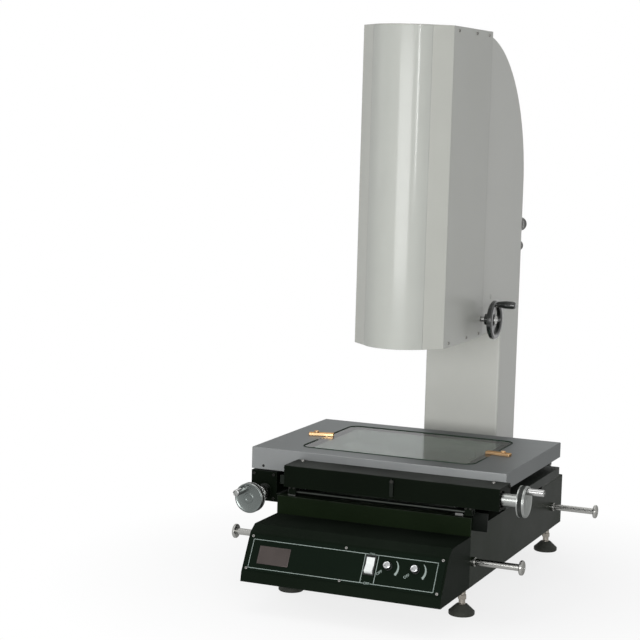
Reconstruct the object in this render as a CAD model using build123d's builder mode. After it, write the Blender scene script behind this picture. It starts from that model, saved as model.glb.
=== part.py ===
"""Video measuring machine with a hand-driven 300 x 200 mm cross stage and a column-mounted head.

All sizes are millimetres. +Z is up, +X is the operator's right and +Y points away from the operator.
The bench is Z = 0. The origin is on the bench, in the middle of the machine's overall plan, and the
optical axis stands a little to the left of it and in front of it, at AXIS_X, AXIS_Y. Every place
below is counted from the optical axis.
"""

import os
from math import acos, atan2, cos, degrees, hypot, pi, radians, sin, sqrt, tan

from build123d import *

# The optical axis in the machine's plan
AXIS_X = -24.0
AXIS_Y = -57.0

# Clearances and common stock
RUN = 0.05             # radial play of a shaft in its bore
GAP = 0.3              # play between pieces that slide past each other
SHEET = 2.0            # sheet metal of the covers

# Base casting: a ribbed iron box with a raised bed for the lower guideway
BASE_BOTTOM = 57.0
BASE_WIDTH = 382.0
BASE_FRONT = -187.0
BASE_REAR = 424.0
BASE_HEIGHT = 100.0
BASE_WALL = 14.0
BASE_CORNER = 6.0
RIB_THICKNESS = 12.0
RIB_Y = 140.0
BED_HEIGHT = 29.0
BED_REAR = 250.0
DECK_TOP = BASE_BOTTOM + BASE_HEIGHT
BED_TOP = DECK_TOP + BED_HEIGHT
BASE_SIDE = BASE_WIDTH / 2

# Light well through the bed, between the rails of the lower slide
Y_RAIL_INSET = 26.0
WELL_TO_RAIL = 30.0
Y_RAIL_X = BASE_SIDE - Y_RAIL_INSET
WELL_WIDTH = 2 * (Y_RAIL_X - WELL_TO_RAIL)
WELL_DEPTH = 200.0
LAMP_FLANGE = 6.0
LAMP_FLANGE_THICKNESS = 3.0
LAMP_BODY_DEPTH = 22.0
LAMP_WALL = 2.5
DIFFUSER_THICKNESS = 4.0

# Console cover in front of the base, with its sloping panel
CONSOLE_FRONT = -341.0
CONSOLE_LIP = 17.0
CONSOLE_LIP_SETBACK = 3.0
CONSOLE_SLOPE_TOP = 83.0
CONSOLE_SLOPE_SETBACK = 39.0
CONSOLE_HEIGHT = 95.0
CONSOLE_CREST_SETBACK = 57.0
CONSOLE_EDGE = 5.0
PANEL_MARGIN = 4.0
PANEL_WIDTH = BASE_WIDTH - 2 * PANEL_MARGIN
PANEL_LENGTH = 66.0
PANEL_THICKNESS = 1.5
PANEL_CORNER = 2.0
PANEL_SCREW_INSET = (5.0, 3.0)
PANEL_SCREW_X = PANEL_WIDTH / 2 - PANEL_SCREW_INSET[0]
PANEL_SCREW_V = PANEL_LENGTH / 2 - PANEL_SCREW_INSET[1]
PANEL_SCREW_RADIUS = 2.4
PANEL_SCREW_HEAD = 1.4
SWITCH_INSET = 141.0
SWITCH_X = BASE_SIDE - SWITCH_INSET
SWITCH_V = 5.0
SWITCH_WIDTH = 15.0
SWITCH_LENGTH = 31.0
SWITCH_PLAY = 0.5
SWITCH_TILT = 7.0
SWITCH_PIVOT_DEPTH = 5.0
SWITCH_PROUD = 3.2
KNOB_INSET = (106.5, 55.5)
KNOB_X = [BASE_SIDE - inset for inset in KNOB_INSET]
KNOB_V = 7.0
KNOB_RADIUS = 6.4
KNOB_HEIGHT = 11.0
KNOB_SKIRT_RADIUS = 7.6
KNOB_SKIRT = 2.5
KNOB_SHAFT_RADIUS = 3.0
KNOB_SHAFT_LENGTH = 9.0

# Levelling feet
FOOT_INSET = 21.0
FOOT_INSET_FRONT = 27.0
FOOT_INSET_REAR = 38.5
FOOT_X = BASE_SIDE - FOOT_INSET
FOOT_Y = (BASE_FRONT + FOOT_INSET_FRONT, BASE_REAR - FOOT_INSET_REAR)
PAD_RADIUS = 24.0
PAD_RIM = 7.0
PAD_TOP_RADIUS = 10.5
PAD_HEIGHT = 19.5
BALL_RADIUS = 7.0
STUD_RADIUS = 6.0
STUD_DEPTH = 28.0
STUD_HEX = 14.0
STUD_HEX_Z = 29.0
STUD_HEX_HEIGHT = 8.0
NUT_HEX = 19.0
NUT_HEIGHT = 7.0
FOOT_BOSS_RADIUS = 15.0
FOOT_BOSS_HEIGHT = 34.0

# Carrying bars that screw into the sides of the base
BAR_INSET_FRONT = 16.5
BAR_INSET_REAR = 78.5
BAR_HEIGHT = 46.0
BAR_RADIUS = 6.2
BAR_LENGTH = 89.0
BAR_Y = (BASE_FRONT + BAR_INSET_FRONT, BASE_REAR - BAR_INSET_REAR)
BAR_Z = BASE_BOTTOM + BAR_HEIGHT
BAR_REACH = BASE_SIDE + BAR_LENGTH
BAR_FLANGE_RADIUS = 13.5
BAR_FLANGE = 6.0
BAR_COLLAR_RADIUS = 8.5
BAR_COLLAR = 5.0
BAR_THREAD_DEPTH = 12.0

# Linear guides, the same size on all three axes
GUIDE_HEIGHT = 20.0
RAIL_WIDTH = 15.0
RAIL_HEIGHT = 12.0
RAIL_GROOVE = 1.6
BLOCK_WIDTH = 34.0
BLOCK_LENGTH = 50.0
BLOCK_LIFT = 4.0

# Lower slide: the carriage that travels front to back
Y_TRAVEL = 100.0
Y_RAIL_FRONT = BASE_FRONT + 7.0
Y_RAIL_REAR = BED_REAR - 18.0
Y_BLOCK_Y = (-50.0, 70.0)
CARRIAGE_THICKNESS = 16.0
CARRIAGE_LEFT_MARGIN = 1.0
CARRIAGE_LEFT = -BASE_SIDE - CARRIAGE_LEFT_MARGIN
CARRIAGE_BOTTOM = BED_TOP + GUIDE_HEIGHT
CARRIAGE_TOP = CARRIAGE_BOTTOM + CARRIAGE_THICKNESS

# Upper slide: the stage that travels left to right
X_TRAVEL = 150.0
STAGE_WIDTH = 500.0
STAGE_DEPTH = 354.0
STAGE_THICKNESS = 29.0
STAGE_LIP_DROP = 12.0
STAGE_LIP = 12.0
STAGE_LIP_RIGHT = 235.0
STAGE_BOTTOM = CARRIAGE_TOP + GUIDE_HEIGHT
STAGE_TOP = STAGE_BOTTOM + STAGE_THICKNESS
STAGE_SIDE = STAGE_WIDTH / 2
STAGE_FRONT = -STAGE_DEPTH / 2
STAGE_REAR = STAGE_DEPTH / 2
STAGE_EDGE = 1.0
X_RAIL_Y = 145.0
X_RAIL_HALF = 240.0
X_BLOCK_X = 62.0

# Measuring glass and the window under it
GLASS_WIDTH = 343.0
GLASS_DEPTH = 263.0
GLASS_THICKNESS = 8.0
GLASS_CORNER = 20.0
GLASS_PLAY = 0.5
WINDOW_WIDTH = 306.0
WINDOW_DEPTH = 226.0
WINDOW_CORNER = 8.0
CARRIAGE_WINDOW_TO_BLOCK = 6.0
CARRIAGE_WINDOW_WIDTH = 2 * (Y_RAIL_X - BLOCK_WIDTH / 2 - CARRIAGE_WINDOW_TO_BLOCK)
CARRIAGE_WINDOW_DEPTH = 220.0

# Brass clips on the glass: pivot places and how far each is turned
CLIP_PIVOT = ((-192.0, -6.0), (192.0, -14.0))
CLIP_TURN = (18.0, 173.5)
CLIP_LENGTH = 49.0
CLIP_WIDTH = 13.0
CLIP_THICKNESS = 5.0
CLIP_TAIL = 15.0
CLIP_SCREW_RADIUS = 2.0
CLIP_HEAD_RADIUS = 4.5
CLIP_HEAD = 3.0
CLIP_SCREW_DEPTH = 10.0

# Handwheels of the stage, alike on both axes, with turning rods behind them
ROD_RADIUS = 6.0
SLEEVE_RADIUS = 11.0
WHEEL_RADIUS = 28.0
WHEEL_BACK = 2.0
WHEEL_RING = 8.0
WHEEL_RING_RADIUS = 27.0
WHEEL_FACE = 3.0
WHEEL_BACK_DISTANCE = 32.0
GRIP_RADIUS = 6.0
GRIP_LENGTH = 30.0
GRIP_ORBIT = 18.5
GRIP_PIN_RADIUS = 2.5
GRIP_PIN_HEAD_RADIUS = 4.0
GRIP_PIN_HEAD = 1.5
GRIP_BORE_END = 27.0
X_GRIP_ANGLE = 90.0
Y_GRIP_ANGLE = 132.0
WHEEL_THICKNESS = WHEEL_BACK + WHEEL_RING + WHEEL_FACE

# Drive of the X stage, in a channel across the front of the carriage
HOUSING_WALL = 4.0
HOUSING_END = 12.0
X_HOUSING_LEFT = -155.0
X_HOUSING_RIGHT = STAGE_SIDE + 8.0
X_HOUSING_CLEARANCE = 1.0
X_HOUSING_DEPTH = 62.0
X_HOUSING_BACK = STAGE_FRONT - X_HOUSING_CLEARANCE
X_HOUSING_FRONT = X_HOUSING_BACK - X_HOUSING_DEPTH
X_HOUSING_BELOW_STAGE = 15.0
X_HOUSING_HEIGHT = 40.0
X_HOUSING_TOP = STAGE_TOP - X_HOUSING_BELOW_STAGE
X_HOUSING_BOTTOM = X_HOUSING_TOP - X_HOUSING_HEIGHT
X_HOUSING_SHELF_INSET = (23.0, 28.0)
X_ROD_TO_FRONT = 18.0
X_ROD_DROP = 7.0
X_ROD_Y = X_HOUSING_FRONT + X_ROD_TO_FRONT
X_ROD_Z = STAGE_BOTTOM - X_ROD_DROP
X_NUT_X = 51.0
NUT_LENGTH = 40.0
NUT_WALL = 5.0
X_NUT_ARM_Z = (STAGE_BOTTOM - 10.0, STAGE_BOTTOM + 5.0)
X_SLOT_PLAY = 3.0
X_HOUSING_SLOT = X_NUT_ARM_Z[0] - X_SLOT_PLAY

# Stop rod under the X housing
STOP_ROD_RADIUS = 4.0
STOP_ROD_BACK = 8.0
STOP_ROD_DROP = 12.8
STOP_ROD_INSET = (9.0, 62.0)
STOP_ROD_Y = X_ROD_Y + STOP_ROD_BACK
STOP_ROD_Z = X_HOUSING_BOTTOM - STOP_ROD_DROP
STOP_ROD_X = (X_HOUSING_LEFT + STOP_ROD_INSET[0], X_HOUSING_RIGHT - STOP_ROD_INSET[1])
STOP_BRACKET = 14.0
STOP_BRACKET_FOOT = 4.6
STOP_BRACKET_DEPTH = 18.0

# Quick-release lever on the front of the X housing
LEVER_X = 57.0
LEVER_PIVOT_DROP = 8.0
LEVER_LENGTH = 24.0
LEVER_WIDTH = 7.0
LEVER_THICKNESS = 4.0
LEVER_PIN_RADIUS = 3.0

# Drive of the Y carriage, in a channel on the left of the bed
Y_HOUSING_STAND_OFF = 7.0
Y_HOUSING_WIDTH = 52.0
Y_HOUSING_RIGHT = -BASE_SIDE - Y_HOUSING_STAND_OFF
Y_HOUSING_LEFT = Y_HOUSING_RIGHT - Y_HOUSING_WIDTH
Y_HOUSING_BELOW_BED = 16.0
Y_HOUSING_HEIGHT = 57.0
Y_HOUSING_BOTTOM = BED_TOP - Y_HOUSING_BELOW_BED
Y_HOUSING_TOP = Y_HOUSING_BOTTOM + Y_HOUSING_HEIGHT
Y_HOUSING_FRONT = -177.0
Y_HOUSING_REAR = 165.0
Y_ROD_INSET = 24.0
Y_ROD_ABOVE_BED = 2.0
Y_ROD_X = Y_HOUSING_RIGHT - Y_ROD_INSET
Y_ROD_Z = BED_TOP + Y_ROD_ABOVE_BED
Y_BOSS_RADIUS = 14.0
Y_BOSS_LENGTH = 26.0
Y_NUT_ARM_Z = (CARRIAGE_BOTTOM + 1.0, CARRIAGE_TOP - 3.0)
Y_SLOT_PLAY = 4.0
Y_HOUSING_SLOT = Y_NUT_ARM_Z[0] - Y_SLOT_PLAY

# Linear scales
SCALE_WIDTH = 22.0
SCALE_Y_DEPTH = 20.0
SCALE_Y_BELOW_BED = 10.0
SCALE_Y_BOTTOM = BED_TOP - SCALE_Y_BELOW_BED
SCALE_X_DEPTH = 12.0
SCALE_X_HEIGHT = 15.0
SCALE_HEAD_LENGTH = 44.0
SCALE_GAP = 0.5

# Height of the Z slide, which the column and the head enclose
Z_RAIL_BOTTOM = 520.0
Z_RAIL_TOP = 900.0
Z_PLATE_TOP = Z_RAIL_TOP + 30.0
Z_CARRIAGE_BOTTOM = 560.0
Z_CARRIAGE_TOP = Z_RAIL_TOP - 50.0
Z_BLOCK_Z = (Z_CARRIAGE_TOP - 168.0, Z_CARRIAGE_TOP - 48.0)

# Column: one hollow casting that leans forward at the top in a quarter round
COLUMN_WIDTH = 159.0
COLUMN_FRONT = 300.5
COLUMN_OVERHANG = 0.8
COLUMN_REAR = BASE_REAR + COLUMN_OVERHANG
COLUMN_WALL = 10.0
ARM_FRONT = 150.0
ARM_BOTTOM = 471.0
BACK_RADIUS = 300.0
BACK_CENTRE_DROP = 170.0
BACK_CENTRE_Z = Z_PLATE_TOP - BACK_CENTRE_DROP

# Head covers
HEAD_HALF_WIDTH = 88.3
HEAD_CORNER_Y = -78.0
HEAD_SEAM_X = 57.5
HEAD_SEAM_Y = -107.6
HEAD_NOSE_Y = -137.0
HEAD_ROOF_STEP = 3.0
HEAD_TOP = BACK_CENTRE_Z + BACK_RADIUS + HEAD_ROOF_STEP
HEAD_OPENING_HALF = 66.0
SHAFT_NOTCH = 7.0
SEAM_PLAY = 0.3
LAP_INNER_X = 46.0
FRAME_WIDTH = 10.0
FRAME_HEIGHT = 12.0
FRAME_INSET = 2.0
COVER_SCREW_RADIUS = 3.0
COVER_SCREW_HEAD = 1.6
COVER_SCREW_DEPTH = 8.0
COVER_SCREW_Y = (-50.0, 54.0, 128.0)

# Z slide in the head: rails, carriage, rack and pinion
Z_PLATE_THICKNESS = 12.0
Z_RAIL_X = 45.0
Z_CARRIAGE_HALF_WIDTH = 62.0
Z_CARRIAGE_THICKNESS = 16.0
Z_SHAFT_Y = 144.0
Z_SHAFT_Z = 506.0
Z_SHAFT_RADIUS = 5.0
Z_SHAFT_LEFT = -36.0
MODULE = 1.5
PINION_TEETH = 16
PINION_WIDTH = 12.0
RACK_WIDTH = 14.0
RACK_DEPTH = 10.0
RACK_TEETH = 36
RACK_BELOW = 34.0
BACKLASH = 0.16
PRESSURE_ANGLE = 20.0
BEARING_X = ((-36.0, -20.0), (54.0, 65.0))
BEARING_HALF_HEIGHT = 11.0
BEARING_FRONT = 135.5
PINION_WINDOW_HALF = 18.0
PITCH_RADIUS = MODULE * PINION_TEETH / 2

# Handwheel of the Z slide
Z_WHEEL_X = 110.0
Z_WHEEL_RADIUS = 38.0
Z_WHEEL_RIM = 11.0
Z_WHEEL_RIM_INNER = 28.0
Z_WHEEL_WEB = 5.0
Z_WHEEL_HUB_RADIUS = 11.0
Z_WHEEL_HUB_INNER_X = 97.0
Z_SPOKE_WIDTH = 15.0
Z_GRIP_LENGTH = 36.0
Z_GRIP_RADIUS = 7.5
Z_GRIP_NECK_RADIUS = 5.5
Z_GRIP_ORBIT = 31.0

# Optics on the Z carriage, from the lens's front upward
LENS_FRONT = 485.0
LENS_FRONT_RADIUS = 28.0
LENS_FRONT_HEIGHT = 40.0
LENS_BORE_RADIUS = 20.0
LENS_BORE_DEPTH = 5.0
LENS_NECK_RADIUS = 23.0
LENS_NECK_HEIGHT = 34.0
LENS_BODY_RADIUS = 26.0
LENS_BODY_HEIGHT = 60.0
LENS_TUBE_RADIUS = 15.0
LENS_TUBE_HEIGHT = 50.0
ZOOM_RING_RADIUS = 31.0
ZOOM_RING_HEIGHT = 26.0
RING_LIGHT_RADIUS = 48.0
RING_LIGHT_HEIGHT = 20.0
RING_LIGHT_CONE = 8.0
BRACKET_CLAMP_WALL = 9.0
BRACKET_WIDTH = 44.0
BRACKET_FOOT_WIDTH = 84.0
BRACKET_FOOT = 10.0
BRACKET_Z = (604.0, 644.0)
CAMERA_SIDE = 50.0
CAMERA_HEIGHT = 62.0
CAMERA_PLUG_RADIUS = 9.0
CAMERA_PLUG = 10.0

# Sockets at the back
CAMERA_SOCKET_X = 66.0
CAMERA_SOCKET = ((677.0, 13.0, 30.0), (632.0, 10.0, 20.0))
INLET_X = -110.0
INLET_Z = 108.0
INLET_WIDTH = 50.0
INLET_HEIGHT = 30.0
INLET_DEPTH = 7.0


def level(height):
    """A horizontal drawing plane at a height above the bench."""
    return Plane((AXIS_X, AXIS_Y, height))


def across(x):
    """A side view's drawing plane, +Y to the right and +Z up, looking against +X."""
    return Plane(origin=(AXIS_X + x, AXIS_Y, 0), x_dir=(0, 1, 0), z_dir=(1, 0, 0))


def facing(y):
    """A front view's drawing plane, +X to the right and +Z up, whose normal points at the operator."""
    return Plane(origin=(AXIS_X, AXIS_Y + y, 0), x_dir=(1, 0, 0), z_dir=(0, -1, 0))


def block(x, y, z, mode=Mode.ADD):
    """A rectangular block between two places on each axis."""
    with BuildSketch(level(z[0])) as plan:
        with Locations(((x[0] + x[1]) / 2, (y[0] + y[1]) / 2)):
            Rectangle(x[1] - x[0], y[1] - y[0])
    extrude(plan.sketch, amount=z[1] - z[0], mode=mode)


def bar_x(x, y, z, radius, mode=Mode.ADD):
    """A round bar or bore along X."""
    with BuildSketch(across(x[0])) as disc:
        with Locations((y, z)):
            Circle(radius)
    extrude(disc.sketch, amount=x[1] - x[0], mode=mode)


def bar_y(x, y, z, radius, mode=Mode.ADD):
    """A round bar or bore along Y."""
    with BuildSketch(facing(y[1])) as disc:
        with Locations((x, z)):
            Circle(radius)
    extrude(disc.sketch, amount=y[1] - y[0], mode=mode)


def bar_z(x, y, z, radius, mode=Mode.ADD):
    """A round bar or bore along Z."""
    with BuildSketch(level(z[0])) as disc:
        with Locations((x, y)):
            Circle(radius)
    extrude(disc.sketch, amount=z[1] - z[0], mode=mode)


def side_profile(points, x, mode=Mode.ADD):
    """A straight-sided outline in the side view, drawn out along X."""
    with BuildSketch(across(x[0])) as face:
        with BuildLine():
            Polyline(*points, close=True)
        make_face()
    extrude(face.sketch, amount=x[1] - x[0], mode=mode)


def finish(piece, name):
    """Name a finished piece and write it out."""
    piece.part.label = name
    export_step(piece.part, f"parts/{name}.step")


# Base casting: side walls, deck and bed are one wall thick, open underneath
CAVITY_SIDE = BASE_SIDE - BASE_WALL
CAVITY_FRONT = BASE_FRONT + BASE_WALL
CAVITY_REAR = BASE_REAR - BASE_WALL

with BuildPart() as base_casting:
    side_profile([(BASE_FRONT, BASE_BOTTOM), (BASE_FRONT, BED_TOP), (BED_REAR, BED_TOP),
                  (BED_REAR + BED_HEIGHT, DECK_TOP), (BASE_REAR, DECK_TOP), (BASE_REAR, BASE_BOTTOM)],
                 (-BASE_SIDE, BASE_SIDE))
    fillet(base_casting.edges().filter_by(Axis.Z).group_by(Axis.Y)[-1], BASE_CORNER)
    block((-CAVITY_SIDE, CAVITY_SIDE), (CAVITY_FRONT, RIB_Y - RIB_THICKNESS / 2),
          (BASE_BOTTOM, BED_TOP - BASE_WALL), Mode.SUBTRACT)
    block((-CAVITY_SIDE, CAVITY_SIDE), (RIB_Y + RIB_THICKNESS / 2, CAVITY_REAR),
          (BASE_BOTTOM, DECK_TOP - BASE_WALL), Mode.SUBTRACT)
    block((-WELL_WIDTH / 2, WELL_WIDTH / 2), (-WELL_DEPTH / 2, WELL_DEPTH / 2),
          (BASE_BOTTOM, BED_TOP), Mode.SUBTRACT)
    for side in (-1, 1):
        for foot_y in FOOT_Y:
            bar_z(side * FOOT_X, foot_y, (BASE_BOTTOM, BASE_BOTTOM + FOOT_BOSS_HEIGHT), FOOT_BOSS_RADIUS)
            bar_z(side * FOOT_X, foot_y, (BASE_BOTTOM, BASE_BOTTOM + STUD_DEPTH + 1.0),
                  STUD_RADIUS + RUN, Mode.SUBTRACT)
        for bar_place in BAR_Y:
            ends = sorted((side * BASE_SIDE, side * (BASE_SIDE - BAR_THREAD_DEPTH)))
            bar_x(ends, bar_place, BAR_Z, BAR_RADIUS, Mode.SUBTRACT)
finish(base_casting, "base_casting")

# Console cover: bent sheet, open at the back where it meets the casting
CONSOLE_TOP = BASE_BOTTOM + CONSOLE_HEIGHT
SLOPE_FOOT = (CONSOLE_FRONT + CONSOLE_LIP_SETBACK, BASE_BOTTOM + CONSOLE_LIP)
SLOPE_HEAD = (CONSOLE_FRONT + CONSOLE_SLOPE_SETBACK, BASE_BOTTOM + CONSOLE_SLOPE_TOP)
SLOPE_LENGTH = hypot(SLOPE_HEAD[0] - SLOPE_FOOT[0], SLOPE_HEAD[1] - SLOPE_FOOT[1])
SLOPE_UP = ((SLOPE_HEAD[0] - SLOPE_FOOT[0]) / SLOPE_LENGTH, (SLOPE_HEAD[1] - SLOPE_FOOT[1]) / SLOPE_LENGTH)
SLOPE_PLANE = Plane(
    origin=(AXIS_X, AXIS_Y + (SLOPE_FOOT[0] + SLOPE_HEAD[0]) / 2, (SLOPE_FOOT[1] + SLOPE_HEAD[1]) / 2),
    x_dir=(1, 0, 0), z_dir=(0, -SLOPE_UP[1], SLOPE_UP[0]))
PANEL_FACE = SLOPE_PLANE.offset(PANEL_THICKNESS)

with BuildPart() as console_cover:
    side_profile([(CONSOLE_FRONT, BASE_BOTTOM), SLOPE_FOOT, SLOPE_HEAD,
                  (CONSOLE_FRONT + CONSOLE_CREST_SETBACK, CONSOLE_TOP),
                  (BASE_FRONT, CONSOLE_TOP), (BASE_FRONT, BASE_BOTTOM)], (-BASE_SIDE, BASE_SIDE))
    console_bends = console_cover.edges().filter_by(Axis.X).filter_by(
        lambda edge: edge.center().Y < AXIS_Y + BASE_FRONT - 1 and edge.center().Z > BASE_BOTTOM + 1)
    fillet(console_bends, CONSOLE_EDGE)
    console_back = console_cover.faces().sort_by(Axis.Y)[-1]
    offset(amount=-SHEET, openings=console_back, kind=Kind.INTERSECTION)
    with BuildSketch(SLOPE_PLANE):
        with Locations((SWITCH_X, SWITCH_V)):
            Rectangle(SWITCH_WIDTH + 2 * SWITCH_PLAY, SWITCH_LENGTH + 2 * SWITCH_PLAY)
        for knob_x in KNOB_X:
            with Locations((knob_x, KNOB_V)):
                Circle(KNOB_SHAFT_RADIUS + GAP)
    extrude(amount=-3 * SHEET, mode=Mode.SUBTRACT)
finish(console_cover, "console_cover")

with BuildPart() as control_panel:
    with BuildSketch(SLOPE_PLANE):
        RectangleRounded(PANEL_WIDTH, PANEL_LENGTH, PANEL_CORNER)
        with Locations((SWITCH_X, SWITCH_V)):
            Rectangle(SWITCH_WIDTH + 2 * SWITCH_PLAY, SWITCH_LENGTH + 2 * SWITCH_PLAY, mode=Mode.SUBTRACT)
        for knob_x in KNOB_X:
            with Locations((knob_x, KNOB_V)):
                Circle(KNOB_SHAFT_RADIUS + RUN, mode=Mode.SUBTRACT)
    extrude(amount=PANEL_THICKNESS)
finish(control_panel, "control_panel")

with BuildPart() as panel_screws:
    with BuildSketch(PANEL_FACE):
        with GridLocations(PANEL_SCREW_X, 2 * PANEL_SCREW_V, 3, 2):
            Circle(PANEL_SCREW_RADIUS)
    extrude(amount=PANEL_SCREW_HEAD)
    chamfer(panel_screws.edges().filter_by(GeomType.CIRCLE).group_by(SortBy.DISTANCE)[0], 0.3)
finish(panel_screws, "panel_screws")

# Rocker: round ends about its pivot, two flats that meet in a shallow vee
ROCKER_PLANE = PANEL_FACE.offset(-SWITCH_PIVOT_DEPTH)
ROCKER_REACH = SWITCH_LENGTH / 2
ROCKER_TOP = SWITCH_PIVOT_DEPTH + SWITCH_PROUD
ROCKER_ANGLE = atan2(SLOPE_UP[1], SLOPE_UP[0]) - radians(SWITCH_TILT)
ROCKER_SIDE = Plane(
    origin=ROCKER_PLANE.from_local_coords((SWITCH_X - SWITCH_WIDTH / 2, SWITCH_V, 0)),
    x_dir=(0, cos(ROCKER_ANGLE), sin(ROCKER_ANGLE)), z_dir=(1, 0, 0))

with BuildPart() as power_switch:
    with BuildSketch(ROCKER_SIDE):
        Circle(ROCKER_REACH)
        with Locations((0, -ROCKER_REACH)):
            Rectangle(2 * ROCKER_REACH, 2 * ROCKER_REACH - 6.0, mode=Mode.SUBTRACT)
        with BuildLine():
            Polyline((-2 * ROCKER_REACH, ROCKER_TOP + 4.0), (0, ROCKER_TOP - 2.2), (2 * ROCKER_REACH, ROCKER_TOP + 4.0),
                     (2 * ROCKER_REACH, 3 * ROCKER_REACH), (-2 * ROCKER_REACH, 3 * ROCKER_REACH), close=True)
        make_face(mode=Mode.SUBTRACT)
    extrude(amount=SWITCH_WIDTH)
finish(power_switch, "power_switch")

for knob_number, knob_x in enumerate(KNOB_X, start=1):
    with BuildPart() as light_knob:
        with BuildSketch(PANEL_FACE.offset(GAP)):
            with Locations((knob_x, KNOB_V)):
                Circle(KNOB_SKIRT_RADIUS)
        extrude(amount=KNOB_SKIRT)
        with BuildSketch(PANEL_FACE.offset(GAP + KNOB_SKIRT)):
            with Locations((knob_x, KNOB_V)):
                Circle(KNOB_RADIUS)
        extrude(amount=KNOB_HEIGHT - KNOB_SKIRT)
        knob_cap = light_knob.faces().filter_by(GeomType.PLANE).sort_by(Axis(PANEL_FACE.origin, PANEL_FACE.z_dir))[-1]
        chamfer(knob_cap.edges(), 0.8)
        with BuildSketch(PANEL_FACE.offset(GAP)):
            with Locations((knob_x, KNOB_V)):
                Circle(KNOB_SHAFT_RADIUS)
        extrude(amount=-KNOB_SHAFT_LENGTH)
    finish(light_knob, f"light_knob_{knob_number}")

# Levelling feet: a rubber-faced cone, a ball-ended stud with a hexagon, and its lock nut
FOOT_PLACES = [(side * FOOT_X, foot_y) for foot_y in FOOT_Y for side in (-1, 1)]
BALL_Z = PAD_HEIGHT - 1.5
HEX_TO_CORNER = 1 / sqrt(3)


def ball_outline(radius):
    """Half the outline of the stud's end, a ball turned as flats and cones, about its own middle."""
    flat = radius * tan(pi / 8)
    return [(0, -radius), (flat, -radius), (radius, -flat), (radius, flat), (flat, radius), (0, radius)]


with BuildPart() as foot_pads:
    for foot_place in FOOT_PLACES:
        with BuildSketch(Plane(origin=(AXIS_X + foot_place[0], AXIS_Y + foot_place[1], 0),
                               x_dir=(1, 0, 0), z_dir=(0, -1, 0))) as pad_half:
            with BuildLine():
                Polyline((0, 0), (PAD_RADIUS - 1.5, 0), (PAD_RADIUS, 1.5), (PAD_RADIUS, PAD_RIM),
                         (PAD_TOP_RADIUS, PAD_HEIGHT), (0, PAD_HEIGHT), close=True)
            make_face()
            with BuildLine():
                Polyline(*[(r, BALL_Z + h) for r, h in ball_outline(BALL_RADIUS + RUN)], close=True)
            make_face(mode=Mode.SUBTRACT)
        revolve(pad_half.sketch, Axis((AXIS_X + foot_place[0], AXIS_Y + foot_place[1], 0), (0, 0, 1)))
finish(foot_pads, "foot_pads")

for foot_number, foot_place in enumerate(FOOT_PLACES, start=1):
    with BuildPart() as foot_stud:
        with BuildSketch(facing(foot_place[1])):
            with BuildLine():
                Polyline(*[(foot_place[0] + r, BALL_Z + h) for r, h in ball_outline(BALL_RADIUS)], close=True)
            make_face()
        revolve(axis=Axis((AXIS_X + foot_place[0], AXIS_Y + foot_place[1], 0), (0, 0, 1)))
        bar_z(*foot_place, (BALL_Z, BASE_BOTTOM + STUD_DEPTH), STUD_RADIUS)
        with BuildSketch(level(STUD_HEX_Z)):
            with Locations(foot_place):
                RegularPolygon(STUD_HEX * HEX_TO_CORNER, 6)
        extrude(amount=STUD_HEX_HEIGHT)
    finish(foot_stud, f"foot_stud_{foot_number}")

with BuildPart() as foot_lock_nuts:
    with BuildSketch(level(BASE_BOTTOM - NUT_HEIGHT)):
        with Locations(*FOOT_PLACES):
            RegularPolygon(NUT_HEX * HEX_TO_CORNER, 6)
            Circle(STUD_RADIUS + RUN, mode=Mode.SUBTRACT)
    extrude(amount=NUT_HEIGHT)
finish(foot_lock_nuts, "foot_lock_nuts")

# Carrying bars: chromed rod with a collar at the root and a flange at the end
BAR_STEPS = ((BASE_SIDE - BAR_THREAD_DEPTH, BAR_REACH, BAR_RADIUS),
             (BASE_SIDE, BASE_SIDE + BAR_COLLAR, BAR_COLLAR_RADIUS),
             (BAR_REACH, BAR_REACH + BAR_FLANGE, BAR_FLANGE_RADIUS))

with BuildPart() as carrying_bars:
    for side in (-1, 1):
        for bar_place in BAR_Y:
            for inner, outer, radius in BAR_STEPS:
                bar_x(sorted((side * inner, side * outer)), bar_place, BAR_Z, radius)
    chamfer(carrying_bars.edges().filter_by(GeomType.CIRCLE).filter_by(
        lambda edge: abs(edge.radius - BAR_FLANGE_RADIUS) < 0.01), 1.2)
finish(carrying_bars, "carrying_bars")

# Contour light: a tray that hangs in the well by its flange, and its diffuser
LAMP_TOP = BED_TOP + LAMP_FLANGE_THICKNESS

with BuildPart() as backlight_housing:
    block((-WELL_WIDTH / 2 - LAMP_FLANGE, WELL_WIDTH / 2 + LAMP_FLANGE),
          (-WELL_DEPTH / 2 - LAMP_FLANGE, WELL_DEPTH / 2 + LAMP_FLANGE), (BED_TOP, LAMP_TOP))
    block((-WELL_WIDTH / 2 + GAP, WELL_WIDTH / 2 - GAP), (-WELL_DEPTH / 2 + GAP, WELL_DEPTH / 2 - GAP),
          (BED_TOP - LAMP_BODY_DEPTH, BED_TOP))
    block((-WELL_WIDTH / 2 + LAMP_WALL, WELL_WIDTH / 2 - LAMP_WALL),
          (-WELL_DEPTH / 2 + LAMP_WALL, WELL_DEPTH / 2 - LAMP_WALL),
          (BED_TOP - LAMP_BODY_DEPTH + LAMP_WALL, LAMP_TOP), Mode.SUBTRACT)
finish(backlight_housing, "backlight_housing")

with BuildPart() as backlight_diffuser:
    block((-WELL_WIDTH / 2 - LAMP_FLANGE + 1.0, WELL_WIDTH / 2 + LAMP_FLANGE - 1.0),
          (-WELL_DEPTH / 2 - LAMP_FLANGE + 1.0, WELL_DEPTH / 2 + LAMP_FLANGE - 1.0),
          (LAMP_TOP, LAMP_TOP + DIFFUSER_THICKNESS))
    chamfer(backlight_diffuser.faces().sort_by(Axis.Z)[-1].edges(), 0.8)
finish(backlight_diffuser, "backlight_diffuser")


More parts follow.
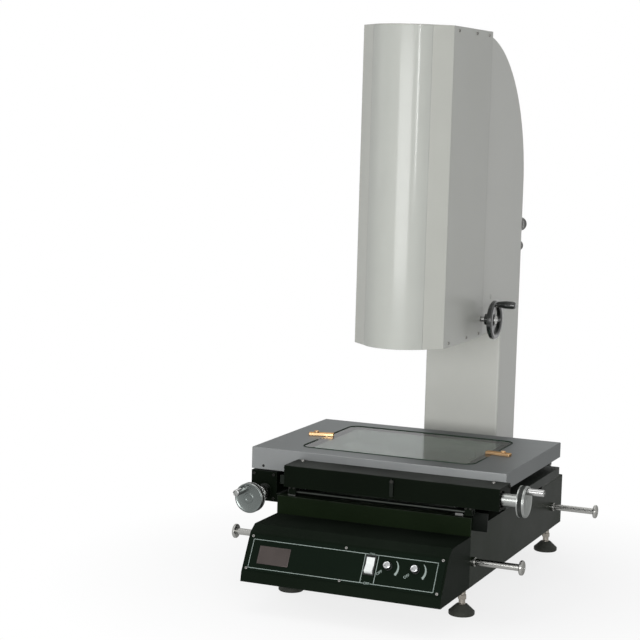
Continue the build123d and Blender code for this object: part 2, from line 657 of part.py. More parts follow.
def rail(plane, start, end, centre, along_x):
    """A guide rail on its seat plane, grooved along both flanks."""
    half = RAIL_WIDTH / 2
    waist = RAIL_HEIGHT * 0.62
    outline = [(-half, 0), (half, 0), (half, waist - 2 * RAIL_GROOVE), (half - RAIL_GROOVE, waist - RAIL_GROOVE),
               (half, waist), (half, RAIL_HEIGHT), (-half, RAIL_HEIGHT), (-half, waist),
               (-half + RAIL_GROOVE, waist - RAIL_GROOVE), (-half, waist - 2 * RAIL_GROOVE)]
    run = plane.x_dir if along_x else plane.y_dir
    sideways = plane.y_dir if along_x else -plane.x_dir
    origin = plane.from_local_coords((start, centre, 0) if along_x else (centre, start, 0))
    with BuildSketch(Plane(origin=origin, x_dir=sideways, z_dir=run)) as section:
        with BuildLine():
            Polyline(*outline, close=True)
        make_face()
    extrude(section.sketch, amount=end - start)


def guide_block(seat, place, along_x):
    """A runner block over a rail: it stands clear of the seat and reaches the guided plate."""
    size = (BLOCK_LENGTH, BLOCK_WIDTH) if along_x else (BLOCK_WIDTH, BLOCK_LENGTH)
    slot = (BLOCK_LENGTH, RAIL_WIDTH + 2 * GAP) if along_x else (RAIL_WIDTH + 2 * GAP, BLOCK_LENGTH)
    with BuildSketch(seat.offset(BLOCK_LIFT)) as body:
        with Locations(place):
            Rectangle(*size)
    extrude(body.sketch, amount=GUIDE_HEIGHT - BLOCK_LIFT)
    with BuildSketch(seat.offset(BLOCK_LIFT)) as channel:
        with Locations(place):
            Rectangle(*slot)
    extrude(channel.sketch, amount=RAIL_HEIGHT + GAP - BLOCK_LIFT, mode=Mode.SUBTRACT)


# Lower guideway: rails on the bed, runner blocks under the carriage
with BuildPart() as y_rails:
    for side in (-1, 1):
        rail(level(BED_TOP), Y_RAIL_FRONT, Y_RAIL_REAR, side * Y_RAIL_X, along_x=False)
finish(y_rails, "y_rails")

# Upper guideway: rails under the stage, so the blocks stand on the carriage and face up
X_SEAT = Plane(origin=(AXIS_X, AXIS_Y, STAGE_BOTTOM), x_dir=(1, 0, 0), z_dir=(0, 0, -1))

with BuildPart() as guide_blocks:
    for side in (-1, 1):
        for block_y in Y_BLOCK_Y:
            guide_block(level(BED_TOP), (side * Y_RAIL_X, block_y), along_x=False)
        for rail_side in (-1, 1):
            guide_block(X_SEAT, (side * X_BLOCK_X, rail_side * X_RAIL_Y), along_x=True)
finish(guide_blocks, "guide_blocks")

with BuildPart() as x_rails:
    for side in (-1, 1):
        rail(X_SEAT, -X_RAIL_HALF, X_RAIL_HALF, side * X_RAIL_Y, along_x=True)
finish(x_rails, "x_rails")

# Carriage plate with the light's window
with BuildPart() as y_carriage_plate:
    block((CARRIAGE_LEFT, STAGE_SIDE), (STAGE_FRONT, STAGE_REAR), (CARRIAGE_BOTTOM, CARRIAGE_TOP))
    chamfer(y_carriage_plate.edges().filter_by(Axis.Z), 2.0)
    with BuildSketch(level(CARRIAGE_BOTTOM)):
        RectangleRounded(CARRIAGE_WINDOW_WIDTH, CARRIAGE_WINDOW_DEPTH, WINDOW_CORNER)
    extrude(amount=CARRIAGE_THICKNESS, mode=Mode.SUBTRACT)
finish(y_carriage_plate, "y_carriage_plate")

# Stage plate: window, glass rebate and a lip along the front
with BuildPart() as stage_plate:
    block((-STAGE_SIDE, STAGE_SIDE), (STAGE_FRONT, STAGE_REAR), (STAGE_BOTTOM, STAGE_TOP))
    block((-STAGE_SIDE, STAGE_LIP_RIGHT), (STAGE_FRONT, STAGE_FRONT + STAGE_LIP),
          (STAGE_BOTTOM - STAGE_LIP_DROP, STAGE_BOTTOM))
    chamfer(stage_plate.faces().sort_by(Axis.Z)[-1].edges(), STAGE_EDGE)
    with BuildSketch(level(STAGE_BOTTOM)):
        RectangleRounded(WINDOW_WIDTH, WINDOW_DEPTH, WINDOW_CORNER)
    extrude(amount=STAGE_THICKNESS, mode=Mode.SUBTRACT)
    with BuildSketch(level(STAGE_TOP)):
        RectangleRounded(GLASS_WIDTH + 2 * GLASS_PLAY, GLASS_DEPTH + 2 * GLASS_PLAY, GLASS_CORNER + GLASS_PLAY)
    extrude(amount=-GLASS_THICKNESS, mode=Mode.SUBTRACT)
    for pivot in CLIP_PIVOT:
        bar_z(*pivot, (STAGE_TOP - CLIP_SCREW_DEPTH, STAGE_TOP), CLIP_SCREW_RADIUS, Mode.SUBTRACT)
finish(stage_plate, "stage_plate")

with BuildPart() as stage_glass:
    with BuildSketch(level(STAGE_TOP - GLASS_THICKNESS)):
        RectangleRounded(GLASS_WIDTH, GLASS_DEPTH, GLASS_CORNER)
    extrude(amount=GLASS_THICKNESS)
    chamfer(stage_glass.faces().sort_by(Axis.Z)[-1].edges(), 0.6)
finish(stage_glass, "stage_glass")

# Clips: a brass bar that turns about its screw and lies over the glass's edge
CLIP_BOTTOM = STAGE_TOP + GAP
CLIP_TOP = CLIP_BOTTOM + CLIP_THICKNESS
for clip_name, pivot, turn in zip(("glass_clip_left", "glass_clip_right"), CLIP_PIVOT, CLIP_TURN):
    clip_plane = Plane(origin=(AXIS_X + pivot[0], AXIS_Y + pivot[1], CLIP_BOTTOM),
                       x_dir=(cos(radians(turn)), sin(radians(turn)), 0), z_dir=(0, 0, 1))
    with BuildPart() as glass_clip:
        with BuildSketch(clip_plane):
            with Locations((CLIP_LENGTH / 2 - CLIP_TAIL, 0)):
                RectangleRounded(CLIP_LENGTH, CLIP_WIDTH, 1.5)
            Circle(CLIP_SCREW_RADIUS + RUN, mode=Mode.SUBTRACT)
        extrude(amount=CLIP_THICKNESS)
        clip_rim = glass_clip.faces().sort_by(Axis.Z)[-1].outer_wire().edges()
        chamfer(clip_rim, 0.8)
    finish(glass_clip, clip_name)

with BuildPart() as clip_screws:
    for pivot in CLIP_PIVOT:
        bar_z(*pivot, (STAGE_TOP - CLIP_SCREW_DEPTH, CLIP_TOP + GAP), CLIP_SCREW_RADIUS)
        bar_z(*pivot, (CLIP_TOP + GAP, CLIP_TOP + GAP + CLIP_HEAD), CLIP_HEAD_RADIUS)
        block((pivot[0] - CLIP_HEAD_RADIUS, pivot[0] + CLIP_HEAD_RADIUS), (pivot[1] - 0.6, pivot[1] + 0.6),
              (CLIP_TOP + GAP + CLIP_HEAD - 1.2, CLIP_TOP + GAP + CLIP_HEAD), Mode.SUBTRACT)
finish(clip_screws, "clip_screws")

# X drive housing: a channel, open to the stage along its back, with a bearing wall at each end
HOUSING_INNER_FRONT = X_HOUSING_FRONT + HOUSING_WALL
HOUSING_INNER_BACK = X_HOUSING_BACK - HOUSING_WALL
X_INNER = (X_HOUSING_LEFT + HOUSING_END, X_HOUSING_RIGHT - HOUSING_END)
LEVER_PIVOT_Z = X_HOUSING_TOP - LEVER_PIVOT_DROP

with BuildPart() as x_drive_housing:
    side_profile([(X_HOUSING_FRONT, X_HOUSING_BOTTOM), (X_HOUSING_BACK, X_HOUSING_BOTTOM),
                  (X_HOUSING_BACK, X_HOUSING_TOP), (X_HOUSING_FRONT, X_HOUSING_TOP)],
                 (X_HOUSING_LEFT, X_HOUSING_RIGHT))
    fillet(x_drive_housing.edges().filter_by(Axis.X).sort_by(
        lambda edge: edge.center().Z - edge.center().Y)[-1], 2.0)
    block((X_HOUSING_LEFT + X_HOUSING_SHELF_INSET[0], X_HOUSING_RIGHT - X_HOUSING_SHELF_INSET[1]),
          (X_HOUSING_BACK - HOUSING_WALL, STAGE_FRONT), (CARRIAGE_BOTTOM, X_HOUSING_SLOT))
    block(X_INNER, (HOUSING_INNER_FRONT, HOUSING_INNER_BACK),
          (X_HOUSING_BOTTOM + HOUSING_WALL, X_HOUSING_TOP - HOUSING_WALL), Mode.SUBTRACT)
    block(X_INNER, (HOUSING_INNER_BACK, X_HOUSING_BACK),
          (X_HOUSING_SLOT, X_HOUSING_TOP - HOUSING_WALL), Mode.SUBTRACT)
    bar_x((X_HOUSING_LEFT + HOUSING_WALL, X_HOUSING_RIGHT), X_ROD_Y, X_ROD_Z, ROD_RADIUS + RUN, Mode.SUBTRACT)
    for bracket_x in STOP_ROD_X:
        block((bracket_x - STOP_BRACKET / 2, bracket_x + STOP_BRACKET / 2),
              (STOP_ROD_Y - STOP_BRACKET_DEPTH / 2, STOP_ROD_Y + STOP_BRACKET_DEPTH / 2),
              (STOP_ROD_Z - STOP_BRACKET_FOOT, X_HOUSING_BOTTOM))
    bar_x((STOP_ROD_X[0] - STOP_BRACKET / 2, STOP_ROD_X[1] + STOP_BRACKET / 2), STOP_ROD_Y, STOP_ROD_Z,
          STOP_ROD_RADIUS, Mode.SUBTRACT)
    bar_y(LEVER_X, (X_HOUSING_FRONT, HOUSING_INNER_FRONT), LEVER_PIVOT_Z, LEVER_PIN_RADIUS + RUN, Mode.SUBTRACT)
finish(x_drive_housing, "x_drive_housing")

with BuildPart() as x_stop_rod:
    bar_x((STOP_ROD_X[0] - STOP_BRACKET / 2, STOP_ROD_X[1] + STOP_BRACKET / 2), STOP_ROD_Y, STOP_ROD_Z,
          STOP_ROD_RADIUS)
finish(x_stop_rod, "x_stop_rod")

LEVER_BACK = X_HOUSING_FRONT - GAP
with BuildPart() as x_release_lever:
    with BuildSketch(facing(LEVER_BACK)):
        with Locations((LEVER_X, LEVER_PIVOT_Z)):
            Circle(LEVER_WIDTH / 2 + 1.0)
        with Locations((LEVER_X, LEVER_PIVOT_Z - LEVER_LENGTH / 2)):
            Rectangle(LEVER_WIDTH, LEVER_LENGTH)
        with Locations((LEVER_X, LEVER_PIVOT_Z - LEVER_LENGTH)):
            Circle(LEVER_WIDTH / 2)
    extrude(amount=LEVER_THICKNESS)
    bar_y(LEVER_X, (LEVER_BACK, HOUSING_INNER_FRONT), LEVER_PIVOT_Z, LEVER_PIN_RADIUS)
finish(x_release_lever, "x_release_lever")

# X drive nut: runs along the rod and reaches back through the slot to the stage's front edge
X_NUT = (X_NUT_X - NUT_LENGTH / 2, X_NUT_X + NUT_LENGTH / 2)
NUT_REACH = ROD_RADIUS + NUT_WALL
with BuildPart() as x_drive_nut:
    block(X_NUT, (X_ROD_Y - NUT_REACH, X_ROD_Y + NUT_REACH), (X_ROD_Z - NUT_REACH, X_NUT_ARM_Z[1]))
    block(X_NUT, (X_ROD_Y + NUT_REACH, STAGE_FRONT), X_NUT_ARM_Z)
    bar_x(X_NUT, X_ROD_Y, X_ROD_Z, ROD_RADIUS + RUN, Mode.SUBTRACT)
finish(x_drive_nut, "x_drive_nut")

# Y drive housing: a channel along the left of the bed, open towards the carriage
Y_INNER = (Y_HOUSING_FRONT + HOUSING_END, Y_HOUSING_REAR - HOUSING_END)
with BuildPart() as y_drive_housing:
    block((Y_HOUSING_LEFT, Y_HOUSING_RIGHT), (Y_HOUSING_FRONT, Y_HOUSING_REAR), (Y_HOUSING_BOTTOM, Y_HOUSING_TOP))
    block((Y_HOUSING_RIGHT, -BASE_SIDE), (Y_HOUSING_FRONT, Y_HOUSING_REAR), (Y_HOUSING_BOTTOM, BED_TOP))
    block((Y_HOUSING_LEFT + HOUSING_WALL, Y_HOUSING_RIGHT - HOUSING_WALL), Y_INNER,
          (Y_HOUSING_BOTTOM + HOUSING_WALL, Y_HOUSING_TOP - HOUSING_WALL), Mode.SUBTRACT)
    block((Y_HOUSING_RIGHT - HOUSING_WALL, Y_HOUSING_RIGHT), Y_INNER,
          (Y_HOUSING_SLOT, Y_HOUSING_TOP - HOUSING_WALL), Mode.SUBTRACT)
    bar_y(Y_ROD_X, (Y_HOUSING_FRONT - Y_BOSS_LENGTH, Y_HOUSING_FRONT), Y_ROD_Z, Y_BOSS_RADIUS)
    bar_y(Y_ROD_X, (Y_HOUSING_FRONT - Y_BOSS_LENGTH, Y_HOUSING_REAR - HOUSING_WALL), Y_ROD_Z,
          ROD_RADIUS + RUN, Mode.SUBTRACT)
finish(y_drive_housing, "y_drive_housing")

with BuildPart() as y_drive_nut:
    block((Y_ROD_X - NUT_REACH, Y_ROD_X + NUT_REACH), (-NUT_LENGTH / 2, NUT_LENGTH / 2),
          (Y_ROD_Z - NUT_REACH, Y_NUT_ARM_Z[1]))
    block((Y_ROD_X + NUT_REACH, CARRIAGE_LEFT), (-NUT_LENGTH / 2, NUT_LENGTH / 2), Y_NUT_ARM_Z)
    bar_y(Y_ROD_X, (-NUT_LENGTH / 2, NUT_LENGTH / 2), Y_ROD_Z, ROD_RADIUS + RUN, Mode.SUBTRACT)
finish(y_drive_nut, "y_drive_nut")


def wheel_plane(axis):
    """The plane that a stage handwheel's back stands on; its normal runs outwards along the axis."""
    if axis == "x":
        return Plane(origin=(AXIS_X + X_HOUSING_RIGHT + WHEEL_BACK_DISTANCE, AXIS_Y + X_ROD_Y, X_ROD_Z),
                     x_dir=(0, 1, 0), z_dir=(1, 0, 0))
    return Plane(origin=(AXIS_X + Y_ROD_X, AXIS_Y + Y_HOUSING_FRONT - Y_BOSS_LENGTH - WHEEL_BACK_DISTANCE, Y_ROD_Z),
                 x_dir=(1, 0, 0), z_dir=(0, -1, 0))


def grip_place(angle, orbit):
    return (orbit * cos(radians(angle)), orbit * sin(radians(angle)))


def turned(plane, radius, start, end, place=(0, 0), mode=Mode.ADD):
    """A round stretch of a turned piece, between two distances along the plane's normal."""
    with BuildSketch(plane.offset(start)) as disc:
        with Locations(place):
            Circle(radius)
    extrude(disc.sketch, amount=end - start, mode=mode)


def stage_handwheel(axis, grip_angle):
    """Handwheel with its sleeve, a dark ring between two bright discs, and the pin of its grip."""
    plane = wheel_plane(axis)
    pin = grip_place(grip_angle, GRIP_ORBIT)
    with BuildPart() as wheel:
        turned(plane, SLEEVE_RADIUS, GAP - WHEEL_BACK_DISTANCE, 0)
        turned(plane, WHEEL_RADIUS, 0, WHEEL_BACK)
        turned(plane, WHEEL_RING_RADIUS, WHEEL_BACK, WHEEL_BACK + WHEEL_RING)
        turned(plane, WHEEL_RADIUS, WHEEL_BACK + WHEEL_RING, WHEEL_THICKNESS)
        face_rim = wheel.edges().filter_by(GeomType.CIRCLE).filter_by(
            lambda edge: abs(edge.radius - WHEEL_RADIUS) < 0.01).sort_by(
            lambda edge: plane.to_local_coords(edge.center()).Z)[-1]
        chamfer(face_rim, 1.2)
        turned(plane, GRIP_PIN_RADIUS, WHEEL_THICKNESS, WHEEL_THICKNESS + GRIP_BORE_END, pin)
        turned(plane, GRIP_PIN_HEAD_RADIUS, WHEEL_THICKNESS + GRIP_BORE_END,
               WHEEL_THICKNESS + GRIP_BORE_END + GRIP_PIN_HEAD, pin)
        turned(plane, ROD_RADIUS, -WHEEL_BACK_DISTANCE, WHEEL_BACK, mode=Mode.SUBTRACT)
    finish(wheel, f"{axis}_handwheel")
    with BuildPart() as grip:
        turned(plane, GRIP_RADIUS, WHEEL_THICKNESS + GAP, WHEEL_THICKNESS + GRIP_LENGTH, pin)
        grip_end = grip.faces().sort_by(lambda face: plane.to_local_coords(face.center()).Z)[-1]
        chamfer(grip_end.edges(), 1.0)
        turned(plane, GRIP_PIN_RADIUS + RUN, WHEEL_THICKNESS, WHEEL_THICKNESS + GRIP_BORE_END, pin, Mode.SUBTRACT)
        turned(plane, GRIP_PIN_HEAD_RADIUS + GAP, WHEEL_THICKNESS + GRIP_BORE_END - GAP,
               WHEEL_THICKNESS + GRIP_LENGTH, pin, Mode.SUBTRACT)
    finish(grip, f"{axis}_crank_grip")


stage_handwheel("x", X_GRIP_ANGLE)
stage_handwheel("y", Y_GRIP_ANGLE)

with BuildPart() as x_drive_rod:
    bar_x((X_HOUSING_LEFT + HOUSING_WALL + GAP, X_HOUSING_RIGHT + WHEEL_BACK_DISTANCE + WHEEL_BACK),
          X_ROD_Y, X_ROD_Z, ROD_RADIUS)
finish(x_drive_rod, "x_drive_rod")

with BuildPart() as y_drive_rod:
    bar_y(Y_ROD_X, (Y_HOUSING_FRONT - Y_BOSS_LENGTH - WHEEL_BACK_DISTANCE - WHEEL_BACK,
                    Y_HOUSING_REAR - HOUSING_WALL - GAP), Y_ROD_Z, ROD_RADIUS)
finish(y_drive_rod, "y_drive_rod")

# Linear scales and their reading heads
SCALE_Y_TOP = SCALE_Y_BOTTOM + SCALE_Y_DEPTH
with BuildPart() as y_scale:
    block((BASE_SIDE, BASE_SIDE + SCALE_WIDTH), (Y_HOUSING_FRONT, Y_HOUSING_REAR), (SCALE_Y_BOTTOM, SCALE_Y_TOP))
    chamfer(y_scale.edges().filter_by(Axis.Y), 1.5)
finish(y_scale, "y_scale")

with BuildPart() as y_scale_head:
    block((BASE_SIDE + 4.0, BASE_SIDE + SCALE_WIDTH - 2.0), (-SCALE_HEAD_LENGTH / 2, SCALE_HEAD_LENGTH / 2),
          (SCALE_Y_TOP + SCALE_GAP, CARRIAGE_BOTTOM))
    chamfer(y_scale_head.edges().filter_by(Axis.Z), 2.0)
finish(y_scale_head, "y_scale_head")

X_SCALE_TOP = CARRIAGE_TOP - 1.0
with BuildPart() as x_scale:
    block((CARRIAGE_LEFT + 20.0, STAGE_SIDE - 20.0), (STAGE_REAR, STAGE_REAR + SCALE_X_DEPTH),
          (X_SCALE_TOP - SCALE_X_HEIGHT, X_SCALE_TOP))
    chamfer(x_scale.edges().filter_by(Axis.X), 1.2)
finish(x_scale, "x_scale")

with BuildPart() as x_scale_head:
    side_profile([(STAGE_REAR - 14.0, STAGE_BOTTOM), (STAGE_REAR - 14.0, X_SCALE_TOP + 5.0),
                  (STAGE_REAR - 6.0, X_SCALE_TOP + 1.0 + SCALE_GAP), (STAGE_REAR + SCALE_X_DEPTH - 1.0,
                  X_SCALE_TOP + 1.0 + SCALE_GAP), (STAGE_REAR + SCALE_X_DEPTH - 1.0, X_SCALE_TOP + 14.0),
                  (STAGE_REAR, STAGE_BOTTOM)], (-SCALE_HEAD_LENGTH / 2, SCALE_HEAD_LENGTH / 2))
finish(x_scale_head, "x_scale_head")


# Column: the hollow is open at the foot and in front
COLUMN_SIDE = COLUMN_WIDTH / 2

with BuildPart() as column:
    with BuildSketch(across(-COLUMN_SIDE)) as column_solid:
        with BuildLine():
            outer_back = CenterArc((COLUMN_REAR - BACK_RADIUS, BACK_CENTRE_Z), BACK_RADIUS, 0,
                                   degrees(acos((ARM_FRONT - COLUMN_REAR + BACK_RADIUS) / BACK_RADIUS)))
            Polyline(outer_back @ 1, (ARM_FRONT, ARM_BOTTOM), (COLUMN_FRONT, ARM_BOTTOM),
                     (COLUMN_FRONT, DECK_TOP), (COLUMN_REAR, DECK_TOP), outer_back @ 0)
        make_face()
    extrude(amount=COLUMN_WIDTH)
    fillet(column.edges().filter_by(Axis.Z).filter_by(
        lambda edge: edge.center().Y > AXIS_Y + COLUMN_FRONT - 1), 4.0)
    with BuildSketch(across(COLUMN_WALL - COLUMN_SIDE)) as column_hollow:
        with BuildLine():
            inner_back = CenterArc((COLUMN_REAR - BACK_RADIUS, BACK_CENTRE_Z), BACK_RADIUS - COLUMN_WALL, 0,
                                   degrees(acos((ARM_FRONT - COLUMN_REAR + BACK_RADIUS)
                                                / (BACK_RADIUS - COLUMN_WALL))))
            Polyline(inner_back @ 1, (ARM_FRONT, ARM_BOTTOM + COLUMN_WALL),
                     (COLUMN_FRONT + COLUMN_WALL, ARM_BOTTOM + COLUMN_WALL),
                     (COLUMN_FRONT + COLUMN_WALL, DECK_TOP), (COLUMN_REAR - COLUMN_WALL, DECK_TOP),
                     inner_back @ 0)
        make_face()
    extrude(amount=COLUMN_WIDTH - 2 * COLUMN_WALL, mode=Mode.SUBTRACT)
finish(column, "column")


def head_ring(bottom, top, outer_inset, inner_inset):
    """A wall on the head's plan: flat sides, chamfered front corners and a round nose between the seams."""
    with BuildSketch(level(bottom)) as outer_plan:
        with BuildLine():
            nose = ThreePointArc((-HEAD_SEAM_X, HEAD_SEAM_Y), (0, HEAD_NOSE_Y), (HEAD_SEAM_X, HEAD_SEAM_Y))
            Polyline(nose @ 1, (HEAD_HALF_WIDTH, HEAD_CORNER_Y), (HEAD_HALF_WIDTH, ARM_FRONT),
                     (-HEAD_HALF_WIDTH, ARM_FRONT), (-HEAD_HALF_WIDTH, HEAD_CORNER_Y), nose @ 0)
        make_face()
        if outer_inset:
            offset(amount=-outer_inset, kind=Kind.INTERSECTION, mode=Mode.REPLACE)
        if inner_inset > outer_inset:
            offset(amount=outer_inset - inner_inset, kind=Kind.INTERSECTION, mode=Mode.SUBTRACT)
    extrude(outer_plan.sketch, amount=top - bottom)


HEAD_ROOF = HEAD_TOP - SHEET
SEAM_CUT_Y = (HEAD_NOSE_Y - 10.0, HEAD_SEAM_Y + 6.0)

with BuildPart() as head_side_cover:
    head_ring(ARM_BOTTOM, HEAD_TOP, 0, SHEET)
    block((-HEAD_SEAM_X, HEAD_SEAM_X), SEAM_CUT_Y, (ARM_BOTTOM, HEAD_ROOF), Mode.SUBTRACT)
    block((-HEAD_OPENING_HALF, HEAD_OPENING_HALF), (ARM_FRONT - 2 * SHEET, ARM_FRONT),
          (ARM_BOTTOM, HEAD_ROOF), Mode.SUBTRACT)
    head_ring(HEAD_ROOF, HEAD_TOP, 0, 0)
    bar_x((0, HEAD_HALF_WIDTH), Z_SHAFT_Y, Z_SHAFT_Z, SHAFT_NOTCH, Mode.SUBTRACT)
    block((0, HEAD_HALF_WIDTH), (Z_SHAFT_Y, ARM_FRONT), (Z_SHAFT_Z - SHAFT_NOTCH, Z_SHAFT_Z + SHAFT_NOTCH),
          Mode.SUBTRACT)
finish(head_side_cover, "head_side_cover")

with BuildPart() as head_front_cover:
    head_ring(ARM_BOTTOM, HEAD_ROOF, 0, SHEET)
    with BuildSketch(level(ARM_BOTTOM)):
        with Locations((0, (SEAM_CUT_Y[0] + SEAM_CUT_Y[1]) / 2)):
            Rectangle(2 * (HEAD_SEAM_X - SEAM_PLAY), SEAM_CUT_Y[1] - SEAM_CUT_Y[0])
    extrude(amount=HEAD_ROOF - ARM_BOTTOM, mode=Mode.INTERSECT)
finish(head_front_cover, "head_front_cover")

with BuildPart() as head_frame:
    for frame_bottom in (ARM_BOTTOM + FRAME_INSET, HEAD_ROOF - FRAME_HEIGHT):
        head_ring(frame_bottom, frame_bottom + FRAME_HEIGHT, SHEET, SHEET + FRAME_WIDTH)
finish(head_frame, "head_frame")

FRAME_MIDDLES = (ARM_BOTTOM + FRAME_INSET + FRAME_HEIGHT / 2, HEAD_ROOF - FRAME_HEIGHT / 2)
with BuildPart() as cover_screws:
    for side in (-1, 1):
        for screw_z in FRAME_MIDDLES:
            for screw_y in COVER_SCREW_Y:
                ends = sorted((side * HEAD_HALF_WIDTH, side * (HEAD_HALF_WIDTH + COVER_SCREW_HEAD)))
                bar_x(ends, screw_y, screw_z, COVER_SCREW_RADIUS)
finish(cover_screws, "cover_screws")

# Z slide: fixed plate with rails and two bearing blocks for the handwheel's shaft
Z_PLATE_BOTTOM = ARM_BOTTOM + COLUMN_WALL
Z_PLATE_HALF = COLUMN_SIDE - COLUMN_WALL
with BuildPart() as z_base_plate:
    block((-Z_PLATE_HALF, Z_PLATE_HALF), (ARM_FRONT, ARM_FRONT + Z_PLATE_THICKNESS), (Z_PLATE_BOTTOM, Z_PLATE_TOP))
    block((-PINION_WIDTH / 2 - 4.0, PINION_WIDTH / 2 + 4.0), (ARM_FRONT, ARM_FRONT + Z_PLATE_THICKNESS),
          (Z_SHAFT_Z - PINION_WINDOW_HALF, Z_SHAFT_Z + PINION_WINDOW_HALF), Mode.SUBTRACT)
    for bearing in BEARING_X:
        block(bearing, (BEARING_FRONT, ARM_FRONT), (Z_SHAFT_Z - BEARING_HALF_HEIGHT, Z_SHAFT_Z + BEARING_HALF_HEIGHT))
        bar_x(bearing, Z_SHAFT_Y, Z_SHAFT_Z, Z_SHAFT_RADIUS + RUN, Mode.SUBTRACT)
finish(z_base_plate, "z_base_plate")

Z_SEAT = facing(ARM_FRONT)
with BuildPart() as z_rails:
    for side in (-1, 1):
        rail(Z_SEAT, Z_RAIL_BOTTOM, Z_RAIL_TOP, side * Z_RAIL_X, along_x=False)
finish(z_rails, "z_rails")

with BuildPart() as z_guide_blocks:
    for side in (-1, 1):
        for block_z in Z_BLOCK_Z:
            guide_block(Z_SEAT, (side * Z_RAIL_X, block_z), along_x=False)
finish(z_guide_blocks, "z_guide_blocks")

# Z carriage plate with the pocket that the rack sits in
Z_CARRIAGE_REAR = ARM_FRONT - GUIDE_HEIGHT
Z_CARRIAGE_FRONT = Z_CARRIAGE_REAR - Z_CARRIAGE_THICKNESS
RACK_PITCH_Y = Z_SHAFT_Y - PITCH_RADIUS
RACK_BACK = RACK_PITCH_Y - RACK_DEPTH
TOOTH_PITCH = pi * MODULE
RACK_BOTTOM = Z_SHAFT_Z - RACK_BELOW
RACK_FIRST_GAP = Z_SHAFT_Z - TOOTH_PITCH * round(RACK_BELOW / TOOTH_PITCH - 0.5)
RACK_TOP = RACK_BOTTOM + RACK_TEETH * TOOTH_PITCH

with BuildPart() as z_carriage_plate:
    block((-Z_CARRIAGE_HALF_WIDTH, Z_CARRIAGE_HALF_WIDTH), (Z_CARRIAGE_FRONT, Z_CARRIAGE_REAR),
          (Z_CARRIAGE_BOTTOM, Z_CARRIAGE_TOP))
    chamfer(z_carriage_plate.edges().filter_by(Axis.Y), 6.0)
    block((-RACK_WIDTH / 2, RACK_WIDTH / 2), (RACK_BACK, Z_CARRIAGE_REAR), (Z_CARRIAGE_BOTTOM, RACK_TOP), Mode.SUBTRACT)
finish(z_carriage_plate, "z_carriage_plate")

# Rack: straight-flanked teeth that face the pinion, a gap level with the shaft
ADDENDUM = MODULE
DEDENDUM = 1.25 * MODULE
RACK_HALF_TOOTH = TOOTH_PITCH / 4 - BACKLASH / 2
FLANK_TAN = tan(radians(PRESSURE_ANGLE))

with BuildPart() as z_rack:
    block((-RACK_WIDTH / 2, RACK_WIDTH / 2), (RACK_BACK, RACK_PITCH_Y - DEDENDUM), (RACK_BOTTOM, RACK_TOP))
    with BuildSketch(across(-RACK_WIDTH / 2)) as rack_teeth:
        for tooth in range(RACK_TEETH):
            middle = RACK_FIRST_GAP + (tooth + 0.5) * TOOTH_PITCH
            foot = RACK_HALF_TOOTH + DEDENDUM * FLANK_TAN
            tip = RACK_HALF_TOOTH - ADDENDUM * FLANK_TAN
            if middle + foot < RACK_TOP:
                with BuildLine():
                    Polyline((RACK_PITCH_Y - DEDENDUM, middle - foot), (RACK_PITCH_Y + ADDENDUM, middle - tip),
                             (RACK_PITCH_Y + ADDENDUM, middle + tip), (RACK_PITCH_Y - DEDENDUM, middle + foot),
                             close=True)
                make_face()
    extrude(rack_teeth.sketch, amount=RACK_WIDTH)
finish(z_rack, "z_rack")

# Pinion: involute flanks from the base circle to the tip, one tooth towards the rack
BASE_CIRCLE = PITCH_RADIUS * cos(radians(PRESSURE_ANGLE))
TIP_CIRCLE = PITCH_RADIUS + ADDENDUM
ROOT_CIRCLE = PITCH_RADIUS - DEDENDUM
FLANK_STEPS = 4


def involute(radius):
    """The angle by which the flank has turned at a radius, in radians."""
    pressure = acos(min(1.0, BASE_CIRCLE / radius))
    return tan(pressure) - pressure


def flank_angle(radius):
    """Half the angle that a tooth fills at a radius."""
    half_tooth = (TOOTH_PITCH / 4 - BACKLASH / 2) / PITCH_RADIUS
    return half_tooth + involute(PITCH_RADIUS) - involute(max(radius, BASE_CIRCLE))


PINION_PLANE = Plane(origin=(AXIS_X - PINION_WIDTH / 2, AXIS_Y + Z_SHAFT_Y, Z_SHAFT_Z),
                     x_dir=(0, 1, 0), z_dir=(1, 0, 0))

with BuildPart() as z_pinion_shaft:
    with BuildSketch(PINION_PLANE) as pinion:
        Circle(ROOT_CIRCLE)
        with PolarLocations(0, PINION_TEETH, start_angle=180):
            radii = [BASE_CIRCLE + (TIP_CIRCLE - BASE_CIRCLE) * step / FLANK_STEPS for step in range(FLANK_STEPS + 1)]
            upper = [(ROOT_CIRCLE - 1.0, (ROOT_CIRCLE - 1.0) * sin(flank_angle(BASE_CIRCLE)))]
            upper += [(r * cos(flank_angle(r)), r * sin(flank_angle(r))) for r in radii]
            Polygon(*upper, *[(px, -py) for px, py in reversed(upper)], align=None)
    extrude(pinion.sketch, amount=PINION_WIDTH)
    bar_x((Z_SHAFT_LEFT, Z_WHEEL_HUB_INNER_X + 8.0), Z_SHAFT_Y, Z_SHAFT_Z, Z_SHAFT_RADIUS)
finish(z_pinion_shaft, "z_pinion_shaft")

# Z handwheel: rim, dished web with two windows, hub and the pin of its grip
Z_WHEEL_PLANE = Plane(origin=(AXIS_X + Z_WHEEL_X, AXIS_Y + Z_SHAFT_Y, Z_SHAFT_Z), x_dir=(0, 1, 0), z_dir=(1, 0, 0))
Z_HUB_START = Z_WHEEL_HUB_INNER_X - Z_WHEEL_X
Z_PIN = grip_place(90.0, Z_GRIP_ORBIT)

